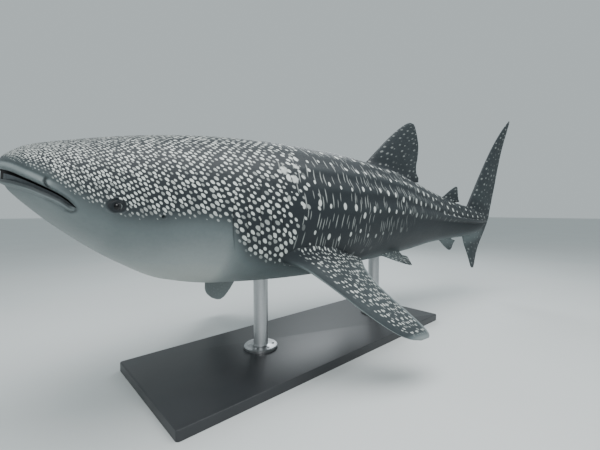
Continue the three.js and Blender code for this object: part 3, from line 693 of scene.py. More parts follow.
def paired(root, side, reach, pose):
    """Places the points of a paired fin from chord, thickness and share of the span."""
    chord, span, face = paired_axes(side, pose)
    start = on_side(root, side)

    def place(along, across, share):
        p = (start + along[..., None] * chord + (share * reach)[..., None] * span
             + across[..., None] * face)
        return LENGTH * np.stack([p[..., 0], p[..., 1] + swing(p[..., 0]), p[..., 2]], -1)

    return place


# The upright fins, and how far in millimetres each root flares
UPRIGHT_FINS = [
    ("first_dorsal", FIRST_DORSAL, 26), ("second_dorsal", SECOND_DORSAL, 14), ("anal", ANAL, 13),
    ("upper_lobe", UPPER_LOBE, 14), ("lower_lobe", LOWER_LOBE, 12),
]
PECTORAL_FLARE = 34
PELVIC_FLARE = 12


def fins():
    """All fins; each one's seed gives its own waves and its own part of the pattern."""
    count = len(UPRIGHT_FINS)
    made = [fin_object(name, sections, upright, seed, flare)
            for seed, (name, sections, flare) in enumerate(UPRIGHT_FINS)]
    for seed, (name, side) in enumerate(SIDES.items(), count):
        pectoral = paired(PECTORAL_ROOT, side, PECTORAL_REACH, PECTORAL_POSES[name])
        made.append(fin_object(f"pectoral_{name}", PECTORAL, pectoral, seed, PECTORAL_FLARE))
        pelvic = paired(PELVIC_ROOT, side, PELVIC_REACH, PELVIC_POSE)
        made.append(fin_object(f"pelvic_{name}", PELVIC, pelvic, seed + len(SIDES), PELVIC_FLARE))
    return made


# The inside of the mouth and the sockets
MOUTH_FRONT = -0.01
SLOT_HALF_WIDTH = 0.55
LIP_BEYOND_CORNER = 0.003
LIP_RIM = 0.62  # height of the inner lip's rim between the two edges of the mouth
LIP_DROP = 0.006
LIP_OVERLAP = 0.0006
CHIN_THICKNESS = 0.0028
LIP_STATIONS = np.array([0.0035, 0.005, 0.008, 0.012, 0.018, 0.025, 0.032, 0.04, 0.05, 0.06])
LIP_STRETCH = np.array([1, 1, 1.2])
LIP_INSET = 0.0342  # metres
CORE_STATIONS = np.linspace(0.002, 0.06, 18)
CORE_SIZE = np.array([1, 0.74, 0.8])


def between(s, upper, lower):
    """A closed outline in side view from an upper and a lower line."""
    return np.concatenate([np.stack([s, upper], -1), np.stack([s, lower], -1)[::-1]])


def mouth_slot():
    """The opening between the lips."""
    s = np.linspace(MOUTH_FRONT, MOUTH_CORNER, 40)
    return bar("mouth_slot", between(s, upper_edge(s), lower_edge(s)), MOUTH_LINING)


def bar(name, outline, finish):
    """A bar right across the head with the given outline in side view."""
    rings = [np.stack([outline[:, 0] * LENGTH, np.full(len(outline), y), outline[:, 1] * LENGTH], -1)
             for y in (-SLOT_HALF_WIDTH, 0, SLOT_HALF_WIDTH)]
    points = np.array(rings)
    obj = grid_object(name, points, no_pattern(points), end_centres(points), finish)
    fill_ends(obj, finish)
    turn_outwards(obj)
    return obj


def no_pattern(points):
    rings, around = points.shape[:2]
    return np.zeros((rings, around + 1, 2))


def head_rings(stations, step):
    """Rings of the plain body: their middles, and their points as seen from there."""
    angles = np.arange(-90, 270, step)
    points = skin_point(np.repeat(stations[:, None], len(angles), 1),
                        np.repeat(angles[None, :], len(stations), 0))
    middle = points.mean(1, keepdims=True)
    return middle, points - middle


def plain_object(name, points, finish):
    obj = grid_object(name, points, no_pattern(points), end_centres(points), finish)
    turn_outwards(obj)
    return obj


def fill_ends(obj, finish):
    """Swaps the two end fans of a bar for flat faces, as its outline is not star-shaped."""
    bm = bmesh.new()
    bm.from_mesh(obj.data)
    bm.verts.ensure_lookup_table()
    count = len(bm.verts)
    bmesh.ops.delete(bm, geom=[bm.verts[count - 2], bm.verts[count - 1]], context="VERTS")
    caps = bmesh.ops.holes_fill(bm, edges=bm.edges, sides=0)["faces"]
    for cap in caps:
        cap.material_index = finish
    bm.to_mesh(obj.data)
    bm.free()


def inner_lip():
    """The smooth inner edge of the lower jaw, set back behind the lower lip."""
    s = np.linspace(MOUTH_FRONT, MOUTH_CORNER + LIP_BEYOND_CORNER, 40)
    low = lower_edge(s)
    rim = low + LIP_RIM * (upper_edge(s) - low)
    under = np.maximum(low - LIP_DROP, np.minimum(belly(s) + CHIN_THICKNESS, low - LIP_OVERLAP))
    block = bar("inner_lip", between(s, rim, under), INNER_LIP)
    middle, offset = head_rings(LIP_STATIONS, 5.0)
    inset = 1 - LIP_INSET / np.linalg.norm(offset, axis=2, keepdims=True)
    within = plain_object("inside", middle + offset * LIP_STRETCH * inset, INNER_LIP)
    combine(block, within, "INTERSECT")
    return block


def mouth_core():
    """What fills the middle of the slot, so that the mouth has a floor and a roof."""
    middle, offset = head_rings(CORE_STATIONS, 6.0)
    return plain_object("mouth_core", middle + offset * CORE_SIZE, MOUTH_LINING)


def ball(name, centre, radius, axis, segments, rings):
    """A ball with one pole towards the axis."""
    mesh = bpy.data.meshes.new(name)
    bm = bmesh.new()
    bmesh.ops.create_uvsphere(bm, u_segments=segments, v_segments=rings, radius=radius)
    turn = Vector((0, 0, 1)).rotation_difference(Vector(axis)).to_matrix().to_4x4()
    bmesh.ops.transform(bm, matrix=Matrix.Translation(Vector(centre)) @ turn, verts=bm.verts)
    bm.to_mesh(mesh)
    bm.free()
    return new_object(name, mesh)


def eye_centre(side):
    centre, axis = eye_place(side)
    return centre - axis * EYE["sunk"] * LENGTH, axis


SOCKET_PLAY = 0.6 * MM


def socket_cutter(side):
    centre, axis = eye_centre(side)
    obj = ball("socket", centre, EYE["radius"] * LENGTH + SOCKET_PLAY, axis, 48, 24)
    dress(obj.data, np.zeros((len(obj.data.loops), 2)), MOUTH_LINING)
    return obj


def combine(obj, tool, operation):
    """Joins the tool to the object or cuts it away, and removes the tool."""
    step = obj.modifiers.new("combine", "BOOLEAN")
    step.operation = operation
    step.solver = "MANIFOLD"
    step.object = tool
    keep_result(obj)
    bpy.data.objects.remove(tool, do_unlink=True)


def keep_result(obj):
    """Turns the result of an object's modifiers into its plain mesh."""
    graph = bpy.context.evaluated_depsgraph_get()
    made = bpy.data.meshes.new_from_object(
        obj.evaluated_get(graph), preserve_all_data_layers=True, depsgraph=graph)
    obj.modifiers.clear()
    old = obj.data
    obj.data = made
    bpy.data.meshes.remove(old)


def keep_largest(obj):
    """Drops loose bits and closes up doubled points."""
    bm = bmesh.new()
    bm.from_mesh(obj.data)
    bmesh.ops.remove_doubles(bm, verts=bm.verts, dist=2e-5)
    bm.verts.ensure_lookup_table()
    seen = np.zeros(len(bm.verts), bool)
    islands = []
    for start in bm.verts:
        if seen[start.index]:
            continue
        seen[start.index] = True
        stack, island = [start], []
        while stack:
            v = stack.pop()
            island.append(v)
            for edge in v.link_edges:
                other = edge.other_vert(v)
                if not seen[other.index]:
                    seen[other.index] = True
                    stack.append(other)
        islands.append(island)
    islands.sort(key=len)
    loose = [v for island in islands[:-1] for v in island]
    bmesh.ops.delete(bm, geom=loose, context="VERTS")
    bmesh.ops.triangulate(bm, faces=[f for f in bm.faces if len(f.verts) > 4])
    bm.to_mesh(obj.data)
    bm.free()


def skin_object():
    body = body_object()
    refine(body, near_mouth, 2)
    refine(body, near_eye, 3)
    carve_face(body)
    combine(body, mouth_slot(), "DIFFERENCE")
    combine(body, mouth_core(), "UNION")
    combine(body, inner_lip(), "UNION")
    for fin in fins():
        combine(body, fin, "UNION")
    for side in SIDES.values():
        combine(body, socket_cutter(side), "DIFFERENCE")
    keep_largest(body)
    return body


# Tone of the ground colour: 0 on the dark back, 1 on the palest belly
TONE_STEPS = [(-0.06, 0.1, 0.45), (0.05, 0.42, 0.55)]  # metres below the spots, share of the tone
CREST = {"full_height": 0.0018, "degrees": 2.2, "tone": 0.13}
FIN_ROOT = (0.0, 0.16)  # where the tone of the body goes over into that of a fin
FIN_FACES = (-0.15, 0.5)  # how far a fin's face looks down where it turns paler
PAIRED_TONE = (0.17, 0.5)  # above, and how much paler below
UPRIGHT_TONE = (0.12, 0.1)
PAIRED_END = 0.42
RIM_TONE = 0.62
LIP_TONE = 0.5

# Pale rear edge and tip, and the plain front band of the pectoral fins
RIM_WIDTH = (0.05, 0.008)
RIM_BEGINS = (0.05, 0.2)
TIP_BEGINS = (0.9, 0.99)
FRONT_BAND = (0.055, 0.045)
FIN_HALF_DEPTH = 0.02

# Plain places of the face and painted shade in its hollows, in metres from a line, an edge or the eye
LIP_BAND = {"above": (0.036, 0.026), "below": (0.03, 0.018), "end": (0.030, 0.024)}
NOSTRIL_SHADE_AND_BARE = {"tone": 0.9, "width": 4.5 * MM, "end": (1.0, 0.8), "plain": (0.025, 0.015)}
FOLD_PAINTED_SHADE = {"tone": 0.1, "width": 1.3 * MM}
MOUTH_GAP_PAINTED_SHADE = {"tone": 0.72, "below": (0.015, 0.010), "end": (MOUTH_CORNER, 0.036)}
EYE_SHADE_AND_BARE = {"tone": 0.95, "dark": (0.030, 0.021), "plain": (0.034, 0.028)}
EYE_SHADE_AND_BARE_FORM = {"oval": 0.12, "ahead": 0.24, "uneven": 0.04}


def border_girth():
    """Distance round from the back to the border of the spots, at places along the length."""
    angles = np.linspace(90, -90, 241)
    found = []
    for station in BORDER_STATIONS:
        ring = skin_point(np.full(len(angles), station), angles)
        girth = np.concatenate([[0], np.cumsum(np.linalg.norm(np.diff(ring, axis=0), axis=1))])
        at = np.interp(-spot_border(station) * LENGTH, -ring[:, 2], girth)
        found.append((station * LENGTH, float(at)))
    return found


def body_tone(points):
    """Ground tone by how far each point lies below the border of the spots, with paler ridges."""
    station, z = side_view(points)
    drop = (spot_border(station) - z) * LENGTH
    tone = sum(ramp(drop, start, end) * share for start, end, share in TONE_STEPS)
    _, middle, high = levels(station)
    level = np.clip((z - middle) / (high - middle), 0, 1)
    angle = np.degrees(np.arcsin(level ** (squareness(station) / 2)))
    for ridge_angle, height in ridges:
        crest = np.minimum(height(station) / CREST["full_height"], 1)
        crest = crest * bell(angle - ridge_angle, CREST["degrees"])
        tone = tone + CREST["tone"] * crest * (level > 0)
    return tone


def write_tones(obj):
    """Stores for every vertex its ground tone, where spots are missing and where painted shade darkens
    it.
    """
    mesh = obj.data
    points, normals = vertex_arrays(mesh)
    tone = body_tone(points)
    on_fin = np.zeros(len(points), bool)
    for polygon in mesh.polygons:
        if polygon.material_index == FIN_SKIN:
            on_fin[list(polygon.vertices)] = True
    away = ramp(outside(points), *FIN_ROOT)
    paired_zone = points[:, 0] < PAIRED_END * LENGTH
    under = ramp(-normals[:, 2], *FIN_FACES)
    fin_tone = np.where(paired_zone, PAIRED_TONE[0] + PAIRED_TONE[1] * under,
                        UPRIGHT_TONE[0] + UPRIGHT_TONE[1] * under)
    tone = np.where(on_fin, tone * (1 - away) + fin_tone * away, tone)
    rim, band = pectoral_marks(points)
    tone = np.where(on_fin, np.maximum(tone, RIM_TONE * rim), tone)
    clear, shade = face_marks(points)
    clear = np.maximum(clear, np.where(on_fin, np.maximum(rim, band), 0))
    lips = lip_zone(points)
    tone = tone + (LIP_TONE - tone) * lips
    for name, values in (("tone", tone), ("clear", np.maximum(clear, lips)), ("shade", shade)):
        layer = mesh.attributes.new(name, "FLOAT", "POINT")
        layer.data.foreach_set("value", values)


def pectoral_marks(points):
    """The pale rear edge and tip of the pectoral fins, and the plain band along their front."""
    share, front, rear, _ = np.array(PECTORAL).T
    rim = np.zeros(len(points))
    band = np.zeros(len(points))
    for name, side in SIDES.items():
        chord, span, face = paired_axes(side, PECTORAL_POSES[name])
        offset = points / LENGTH - on_side(PECTORAL_ROOT, side)
        at = offset @ span / PECTORAL_REACH
        along = offset @ chord
        mine = (points[:, 1] * side > 0) & (np.abs(offset @ face) < FIN_HALF_DEPTH) & (at > 0)
        to_rear = (np.interp(at, share, rear) - along) * LENGTH
        to_front = (along - np.interp(at, share, front)) * LENGTH
        edge = ramp(to_rear, *RIM_WIDTH) * ramp(at, *RIM_BEGINS)
        edge = np.maximum(edge, ramp(at, *TIP_BEGINS))
        rim = np.where(mine, edge, rim)
        band = np.where(mine, ramp(to_front, *FRONT_BAND), band)
    return rim, band


def lip_zone(points):
    """1 on the pale plain band along both lips, 0 elsewhere."""
    s, z = side_view(points)
    above, below = off_lips(s, z)
    band = ramp(above, *LIP_BAND["above"]) * ramp(below, *LIP_BAND["below"])
    return band * ramp(s, *LIP_BAND["end"])


def face_marks(points):
    """Where the face bears no spots, and where painted shade darkens it: round the sunk eyes, in the
    folds, along the nostril and below the mouth's edge.
    """
    s, z = side_view(points)
    distance, share = off_line(s, z, NOSTRIL)
    # Painted shade along the nostril's slit
    shade = NOSTRIL_SHADE_AND_BARE["tone"] * bell(distance, NOSTRIL_SHADE_AND_BARE["width"])
    shade = shade * ramp(share, *NOSTRIL_SHADE_AND_BARE["end"])
    clear = ramp(distance, *NOSTRIL_SHADE_AND_BARE["plain"])
    # Painted shade in the corner folds, darker where a fold is deeper
    for line, depth, width, _, _ in CORNER_FOLDS[:2]:
        distance, _ = off_line(s, z, line)
        fold = FOLD_PAINTED_SHADE["tone"] * depth * bell(distance, FOLD_PAINTED_SHADE["width"] * width)
        shade = np.maximum(shade, fold)
    _, below = off_lips(s, z)
    # Painted shade in the gap just below the mouth's lower edge, where the lip rolls inwards
    band = ramp(below, *MOUTH_GAP_PAINTED_SHADE["below"]) * ramp(s, *MOUTH_GAP_PAINTED_SHADE["end"]) * (z < upper_edge(s))
    shade = np.maximum(shade, MOUTH_GAP_PAINTED_SHADE["tone"] * band)
    for side in SIDES.values():
        centre, axis = eye_place(side)
        distance, angle = around_axis(points, centre, axis)
        ahead = EYE_SHADE_AND_BARE_FORM["ahead"] * np.maximum(-np.sin(angle), 0)
        wide = distance * (1 - EYE_SHADE_AND_BARE_FORM["oval"] * np.abs(np.sin(angle)) - ahead)
        wide = wide * (1 + EYE_SHADE_AND_BARE_FORM["uneven"] * np.sin(5 * angle))
        # Painted shade in the hollow round the sunk eye
        shade = np.maximum(shade, EYE_SHADE_AND_BARE["tone"] * ramp(wide, *EYE_SHADE_AND_BARE["dark"]))
        clear = np.maximum(clear, ramp(wide, *EYE_SHADE_AND_BARE["plain"]))
    return clear, shade


# Node trees
def feed(tree, inputs, values):
    """Gives a node's inputs their values, or links them to the numbers and sockets given."""
    for target, value in zip(inputs, values):
        if isinstance(value, Number):
            value = value.socket
        if isinstance(value, bpy.types.NodeSocket):
            tree.links.new(value, target)
        else:
            target.default_value = value


class Number:
    """A number in a node tree, for writing sums as plain arithmetic."""

    def __init__(self, tree, socket):
        self.tree = tree
        self.socket = socket

    def maths(self, operation, *others):
        node = self.tree.nodes.new("ShaderNodeMath")
        node.operation = operation
        feed(self.tree, node.inputs, (self, *others))
        return Number(self.tree, node.outputs[0])

    def __add__(self, other):
        return self.maths("ADD", other)

    def __sub__(self, other):
        return self.maths("SUBTRACT", other)

    def __mul__(self, other):
        return self.maths("MULTIPLY", other)

    def __truediv__(self, other):
        return self.maths("DIVIDE", other)

    def ramp(self, low, high, to_low=0.0, to_high=1.0):
        """Goes softly from one value to another while the number goes from low to high."""
        node = self.tree.nodes.new("ShaderNodeMapRange")
        node.interpolation_type = "SMOOTHSTEP"
        feed(self.tree, node.inputs, (self, low, high, to_low, to_high))
        return Number(self.tree, node.outputs[0])

    def through(self, points, low, high):
        """The number looked up in a curve of points whose heights run from low to high."""
        node = self.tree.nodes.new("ShaderNodeFloatCurve")
        first, last = points[0][0], points[-1][0]
        share = (self - first) / (last - first)
        self.tree.links.new(share.socket, node.inputs["Value"])
        line = node.mapping.curves[0]
        marks = [((x - first) / (last - first), (y - low) / (high - low)) for x, y in points]
        line.points[0].location, line.points[-1].location = marks[0], marks[-1]
        for mark in marks[1:-1]:
            line.points.new(*mark)
        for point in line.points:
            point.handle_type = "AUTO_CLAMPED"
        node.mapping.update()
        return Number(self.tree, node.outputs[0]) * (high - low) + low


def new_material(name):
    material = bpy.data.materials.new(name)
    material.use_nodes = True
    tree = material.node_tree
    return material, tree, tree.nodes["Principled BSDF"]


def pattern_numbers(tree):
    """The two pattern coordinates of the skin, in metres."""
    node = tree.nodes.new("ShaderNodeUVMap")
    node.uv_map = "Pattern"
    return parts_of(tree, node.outputs[0])[:2]


def vector_of(tree, *numbers):
    node = tree.nodes.new("ShaderNodeCombineXYZ")
    feed(tree, node.inputs, numbers)
    return node.outputs[0]


def cells(tree, vector, randomness, feature="F1"):
    node = tree.nodes.new("ShaderNodeTexVoronoi")
    node.voronoi_dimensions = "2D"
    node.feature = feature
    node.inputs["Scale"].default_value = 1
    node.inputs["Randomness"].default_value = randomness
    tree.links.new(vector, node.inputs["Vector"])
    return node


def parts_of(tree, socket):
    split = tree.nodes.new("ShaderNodeSeparateXYZ")
    tree.links.new(socket, split.inputs[0])
    return [Number(tree, out) for out in split.outputs]


def object_noise(tree, scale, detail=4.0, stretch=(1, 1, 1)):
    place = tree.nodes.new("ShaderNodeTexCoord")
    mapping = tree.nodes.new("ShaderNodeMapping")
    mapping.inputs["Scale"].default_value = stretch
    tree.links.new(place.outputs["Object"], mapping.inputs[0])
    node = tree.nodes.new("ShaderNodeTexNoise")
    node.inputs["Scale"].default_value = scale
    node.inputs["Detail"].default_value = detail
    tree.links.new(mapping.outputs[0], node.inputs["Vector"])
    return Number(tree, node.outputs["Fac"])


# The head's spots, in metres along and round the skin
POLE_AHEAD = 0.25
GIRTH_SHARE = 0.45  # how much the size of the spots grows down the flank
CELL_LENGTH = 0.034  # of the distance from the pole
CELL_WIDTH = 0.0255
HEAD_SPOTS_END = 1.40
HEAD_FADE = 0.04
HEAD_RANDOMNESS = 0.38
ROW_HEIGHT = 0.866  # of the distance between spots, as every other row is shifted by half of it
MINGLING = 0.3  # how far the two patterns reach into each other
HEAD_SPOT_SIZE = (0.225, 0.355)
LEAST_SPOT = 0.08
SPOT_EDGE = (0.08, 0.06)  # softness inside and outside its outline
CELL_GAP = (0.055, 0.145)
FAINT_SPOTS = (0.1, 0.45, 0.45, 1)

# How the head's spots change by the distance below their border: start, end, first and last factor
SIZE_DOWN_FLANK = (-0.3, -0.06, 0.9, 1.08)
SIZE_AT_BORDER = (-0.01, 0.03, 1.0, 0.7)
NONE_BELOW = (0.02, 0.04, 1.0, 0.0)
FAINT_AT_BORDER = (-0.03, 0.03, 1.0, 0.4)


def head_spots(tree, x, g, border):
    """Dense spots whose size grows with the distance from a pole ahead of the snout."""
    ahead = x + POLE_AHEAD
    down = g * GIRTH_SHARE
    radius = (ahead * ahead + down * down).maths("SQRT")
    angle = down.maths("ARCTAN2", ahead)
    turn = CELL_WIDTH * GIRTH_SHARE
    outer = radius.maths("LOGARITHM", math.e) / CELL_LENGTH
    turned = angle / turn
    grid = vector_of(tree, outer - turned * (0.5 / ROW_HEIGHT), turned / ROW_HEIGHT)
    cell = cells(tree, grid, HEAD_RANDOMNESS)
    edge = Number(tree, cells(tree, grid, HEAD_RANDOMNESS, "DISTANCE_TO_EDGE").outputs["Distance"])
    p, q, _ = parts_of(tree, cell.outputs["Position"])
    size_chance, strength_chance, end_chance = parts_of(tree, cell.outputs["Color"])
    spot_outer = p + q * 0.5
    spot_turned = q * ROW_HEIGHT
    far = (spot_outer * CELL_LENGTH).maths("EXPONENT")
    spot_x = far * (spot_turned * turn).maths("COSINE") - POLE_AHEAD
    spot_g = (far * (spot_turned * turn).maths("SINE") / GIRTH_SHARE).maths("ABSOLUTE")
    below = spot_g - spot_x.through(border, 0.0, 1.0)
    size = size_chance.ramp(0.0, 1.0, *HEAD_SPOT_SIZE)
    size = size * below.ramp(*SIZE_DOWN_FLANK) * below.ramp(*SIZE_AT_BORDER)
    size = size * below.ramp(*NONE_BELOW)
    mingled = spot_x + (end_chance - 0.5) * MINGLING
    size = size * mingled.ramp(HEAD_SPOTS_END - HEAD_FADE, HEAD_SPOTS_END + HEAD_FADE, 1.0, 0.0)
    off_length = outer - spot_outer
    off_width = turned - spot_turned
    away = (off_length * off_length + off_width * off_width).maths("SQRT")
    inside = away.ramp(size - SPOT_EDGE[0], size + SPOT_EDGE[1], 1.0, 0.0)
    inside = inside * size.maths("GREATER_THAN", LEAST_SPOT)
    strength = strength_chance.ramp(*FAINT_SPOTS) * below.ramp(*FAINT_AT_BORDER)
    return inside * edge.ramp(*CELL_GAP) * strength


# The trunk's marks on two grids: spots and the dashes between them
SPOTS = {"column": 0.125, "rows": 7.0, "half": (0.0140, 0.0200), "randomness": 0.34, "missing": -1.0}
DASHES = {"column": 0.032, "rows": 8.0, "half": (0.0042, 0.040), "randomness": 0.72, "missing": 0.22}
FULL_GIRTH = 0.75  # half the girth of the spotted skin where the trunk is thickest
SMALLER_TOWARDS_TAIL = (0.1, 1.0, 0.45, 1.0)
MARK_SIZES = (0.7, 1.25)
MARK_EDGE = (0.75, 1.2, 1.0, 0.0)
MARKS_BEGIN = 0.06
LOWEST_MARKS = (1.8, 3.5, 1.05, 0.72)  # from and to along the body, as shares of the way to the border
LOWEST_FADE = 0.3
WAVE = {"down": 16.0, "along": 3.0, "height": 0.012}
DASH_STRENGTH = (2.6, 3.6, 0.42, 0.12)


def marks(tree, x, g, border, column, rows, half, randomness, missing):
    """Lone oval marks on a loose grid whose rows run together towards the tail."""
    reach = x.through(border, 0.0, 1.0)
    grid = vector_of(tree, x / column, g / reach * rows + 0.5)
    cell = cells(tree, grid, randomness)
    cell_column, cell_row, _ = parts_of(tree, cell.outputs["Position"])
    size_chance, missing_chance, start_chance = parts_of(tree, cell.outputs["Color"])
    mark_x = cell_column * column
    mark_reach = mark_x.through(border, 0.0, 1.0)
    mark_g = (cell_row - 0.5) * mark_reach / rows
    smaller = (mark_reach / FULL_GIRTH).ramp(*SMALLER_TOWARDS_TAIL)
    size = size_chance.ramp(0.0, 1.0, *MARK_SIZES) * smaller
    across = (x - mark_x) / half[0]
    along = (g - mark_g) / half[1]
    away = (across * across + along * along).maths("SQRT") / size
    share = mark_g.maths("ABSOLUTE") / mark_reach
    mingled = mark_x + (start_chance - 0.5) * MINGLING
    there = missing_chance.maths("GREATER_THAN", missing)
    there = there * mingled.ramp(HEAD_SPOTS_END - MARKS_BEGIN, HEAD_SPOTS_END)
    lowest = mark_x.ramp(*LOWEST_MARKS)
    return away.ramp(*MARK_EDGE) * there * share.ramp(lowest - LOWEST_FADE, lowest, 1.0, 0.0)


def trunk_spots(tree, x, g, border):
    """Rows and columns of larger spots, with thin pale dashes between the columns."""
    spots = marks(tree, x, g, border, **SPOTS)
    wave = (g * WAVE["down"] + x * WAVE["along"]).maths("SINE") * WAVE["height"]
    dashes = marks(tree, x + wave, g, border, **DASHES)
    return spots.maths("MAXIMUM", dashes * x.ramp(*DASH_STRENGTH))


def attribute(tree, name):
    node = tree.nodes.new("ShaderNodeAttribute")
    node.attribute_name = name
    return Number(tree, node.outputs["Fac"])


SPOT_COLOUR = (0.66, 0.70, 0.67, 1)
# Near-black painted shade that the shade attribute mixes in: in the corner folds, along the nostril, in
# the mouth's gap and round the sunk eyes
PAINTED_SHADE_COLOUR = (0.010, 0.013, 0.016, 1)
GROUND = [  # from the back to the belly
    (0.0, (0.017, 0.022, 0.026)), (0.12, (0.026, 0.033, 0.037)), (0.45, (0.115, 0.140, 0.144)),
    (0.75, (0.27, 0.30, 0.30)), (1.0, (0.46, 0.49, 0.47)),
]
EYE_COLOURS = [  # pupil, iris, a dark ring, a pale ring that is a painted highlight and shows as a crescent, and the dark edge, by the angle from the gaze
    (0.0, (0.002, 0.002, 0.003)), (0.15, (0.002, 0.002, 0.003)), (0.17, (0.014, 0.015, 0.016)),
    (0.27, (0.022, 0.024, 0.026)), (0.29, (0.006, 0.007, 0.008)), (0.33, (0.30, 0.33, 0.33)),
    (0.38, (0.03, 0.035, 0.04)), (1.0, (0.02, 0.025, 0.03)),
]
CLOUDS = 0.16
SPECKS = 0.05


def ground_colour(tree):
    """Dark back, grey flank and pale belly with soft clouds, darkened towards near black by painted shade
    where the shade attribute says, as a colour socket.
    """
    clouds = object_noise(tree, 2.6, 6.0)
    specks = object_noise(tree, 60.0, 3.0)
    level = attribute(tree, "tone") + (clouds - 0.5) * CLOUDS + (specks - 0.5) * SPECKS
    return mix(tree, attribute(tree, "shade"), colour_by(tree, level, GROUND), PAINTED_SHADE_COLOUR)


def colour_by(tree, level, stops):
    """The colour that a number picks from a row of stops, as a colour socket."""
    node = tree.nodes.new("ShaderNodeValToRGB")
    elements = node.color_ramp.elements
    while len(elements) < len(stops):
        elements.new(0.5)
    for element, (place, colour) in zip(elements, stops):
        element.position = place
        element.color = (*colour, 1)
    tree.links.new(level.socket, node.inputs[0])
    return node.outputs[0]


def mix(tree, factor, first, second):
    node = tree.nodes.new("ShaderNodeMix")
    node.data_type = "RGBA"
    feed(tree, (node.inputs["Factor"], node.inputs[6], node.inputs[7]), (factor, first, second))
    return node.outputs[2]


def add_bump(tree, shader, height, strength, distance):
    node = tree.nodes.new("ShaderNodeBump")
    inputs = [node.inputs[name] for name in ("Height", "Strength", "Distance")]
    feed(tree, inputs, (height, strength, distance))
    tree.links.new(node.outputs[0], shader.inputs["Normal"])


def skin_surface(tree, shader):
    """Fine tooth-like grain and soft wrinkles of the skin."""
    shader.inputs["Roughness"].default_value = 0.52
    shader.inputs["Specular IOR Level"].default_value = 0.28
    grain = object_noise(tree, 420.0, 3.0)
    wrinkles = object_noise(tree, 16.0, 5.0, (1, 1, 2.2))
    add_bump(tree, shader, grain * 0.25 + wrinkles, 0.35, 0.004)


SCARS = [(1.266, 0.554, 0.030), (1.368, 0.526, 0.024), (1.332, 0.614, 0.030)]  # x, girth, radius
SCAR_EDGE = (0.55, 1.15, 1.0, 0.0)
SCAR_STRENGTH = 0.8
SCAR_RAGGED = 0.05


def scars(tree, x, g):
    """Pale healed scars on the left shoulder."""
    ragged = (object_noise(tree, 38.0, 4.0) - 0.5) * SCAR_RAGGED
    found = None
    for place, girth, radius in SCARS:
        away = (((x - place) * (x - place) + (g - girth) * (g - girth)).maths("SQRT") + ragged) / radius
        patch = away.ramp(*SCAR_EDGE)
        found = patch if found is None else found.maths("MAXIMUM", patch)
    return found * SCAR_STRENGTH


SKIN_SPOT_STRENGTH = 0.92


def body_material(border):
    """Spotted skin: the head's pattern, the trunk's and the scars over the ground colour."""
    material, tree, shader = new_material("spotted skin")
    x, g = pattern_numbers(tree)
    spots = head_spots(tree, x, g, border).maths("MAXIMUM", trunk_spots(tree, x, g, border))
    spots = spots.maths("MAXIMUM", scars(tree, x, g))
    bare = attribute(tree, "clear").ramp(0.0, 1.0, SKIN_SPOT_STRENGTH, 0.0)
    colour = mix(tree, spots * bare, ground_colour(tree), SPOT_COLOUR)
    tree.links.new(colour, shader.inputs["Base Color"])
    skin_surface(tree, shader)
    return material


# The fins' spots: values for the upright fins, and what is added to them on the paired ones
PAIRED_FINS_FROM = 55.0  # the pattern's second coordinate tells the fins apart
UPRIGHT_CELL = (0.085, 0.085)
PAIRED_CELL = (0.028, 0.050)
FIN_RANDOMNESS = 0.64
FIN_SPOT_SIZE = (0.16, 0.29)
FIN_SPOT_SCALE = (0.7, 0.35)
FIN_SPOT_STRENGTH = (0.24, 0.6)
FIN_SPOT_EDGE = (0.07, 0.05)
FIN_CELL_GAP = (0.03, 0.1)
FAINT_FIN_SPOTS = (0.15, 0.35, 0.35, 1.0)
FAINT_ON_PALE = (0.25, 0.5, 1.0, 0.12)


def fin_material():
    """Sparse dim spots on the upright fins; small pale ovals along the span of the paired ones."""
    material, tree, shader = new_material("spotted fins")
    u, v = pattern_numbers(tree)
    on_paired = v.maths("GREATER_THAN", PAIRED_FINS_FROM)
    width, length = [on_paired * (small - large) + large
                     for small, large in zip(PAIRED_CELL, UPRIGHT_CELL)]
    grid = vector_of(tree, u / width, v / length)
    cell = cells(tree, grid, FIN_RANDOMNESS)
    edge = Number(tree, cells(tree, grid, FIN_RANDOMNESS, "DISTANCE_TO_EDGE").outputs["Distance"])
    size_chance, faint_chance, _ = parts_of(tree, cell.outputs["Color"])
    scale = on_paired * FIN_SPOT_SCALE[1] + FIN_SPOT_SCALE[0]
    size = size_chance.ramp(0.0, 1.0, *FIN_SPOT_SIZE) * scale
    away = Number(tree, cell.outputs["Distance"])
    inside = away.ramp(size - FIN_SPOT_EDGE[0], size + FIN_SPOT_EDGE[1], 1.0, 0.0)
    spots = inside * edge.ramp(*FIN_CELL_GAP) * faint_chance.ramp(*FAINT_FIN_SPOTS)
    spots = spots * attribute(tree, "tone").ramp(*FAINT_ON_PALE)
    bare = attribute(tree, "clear").ramp(0.0, 1.0, 1.0, 0.0)
    strength = on_paired * FIN_SPOT_STRENGTH[1] + FIN_SPOT_STRENGTH[0]
    colour = mix(tree, spots * bare * strength, ground_colour(tree), SPOT_COLOUR)
    tree.links.new(colour, shader.inputs["Base Color"])
    skin_surface(tree, shader)
    return material


def clouded(name, noise, dark, pale, **settings):
    """A finish that drifts softly from a dark to a pale colour, with settings of its shader."""
    material, tree, shader = new_material(name)
    drift = object_noise(tree, *noise)
    tree.links.new(mix(tree, drift, (*dark, 1), (*pale, 1)), shader.inputs["Base Color"])
    for setting, value in settings.items():
        shader.inputs[setting.replace("_", " ")].default_value = value
    return material, tree, shader, drift


def inner_lip_material():
    material, tree, shader, _ = clouded("inner lip", (70.0, 5.0), (0.030, 0.038, 0.044),
                                        (0.085, 0.098, 0.105))
    skin_surface(tree, shader)
    return material


def lining_material():
    return clouded("mouth lining", (40.0, 4.0), (0.003, 0.003, 0.004), (0.016, 0.015, 0.016),
                   Roughness=0.7, Specular_IOR_Level=0.2)[0]


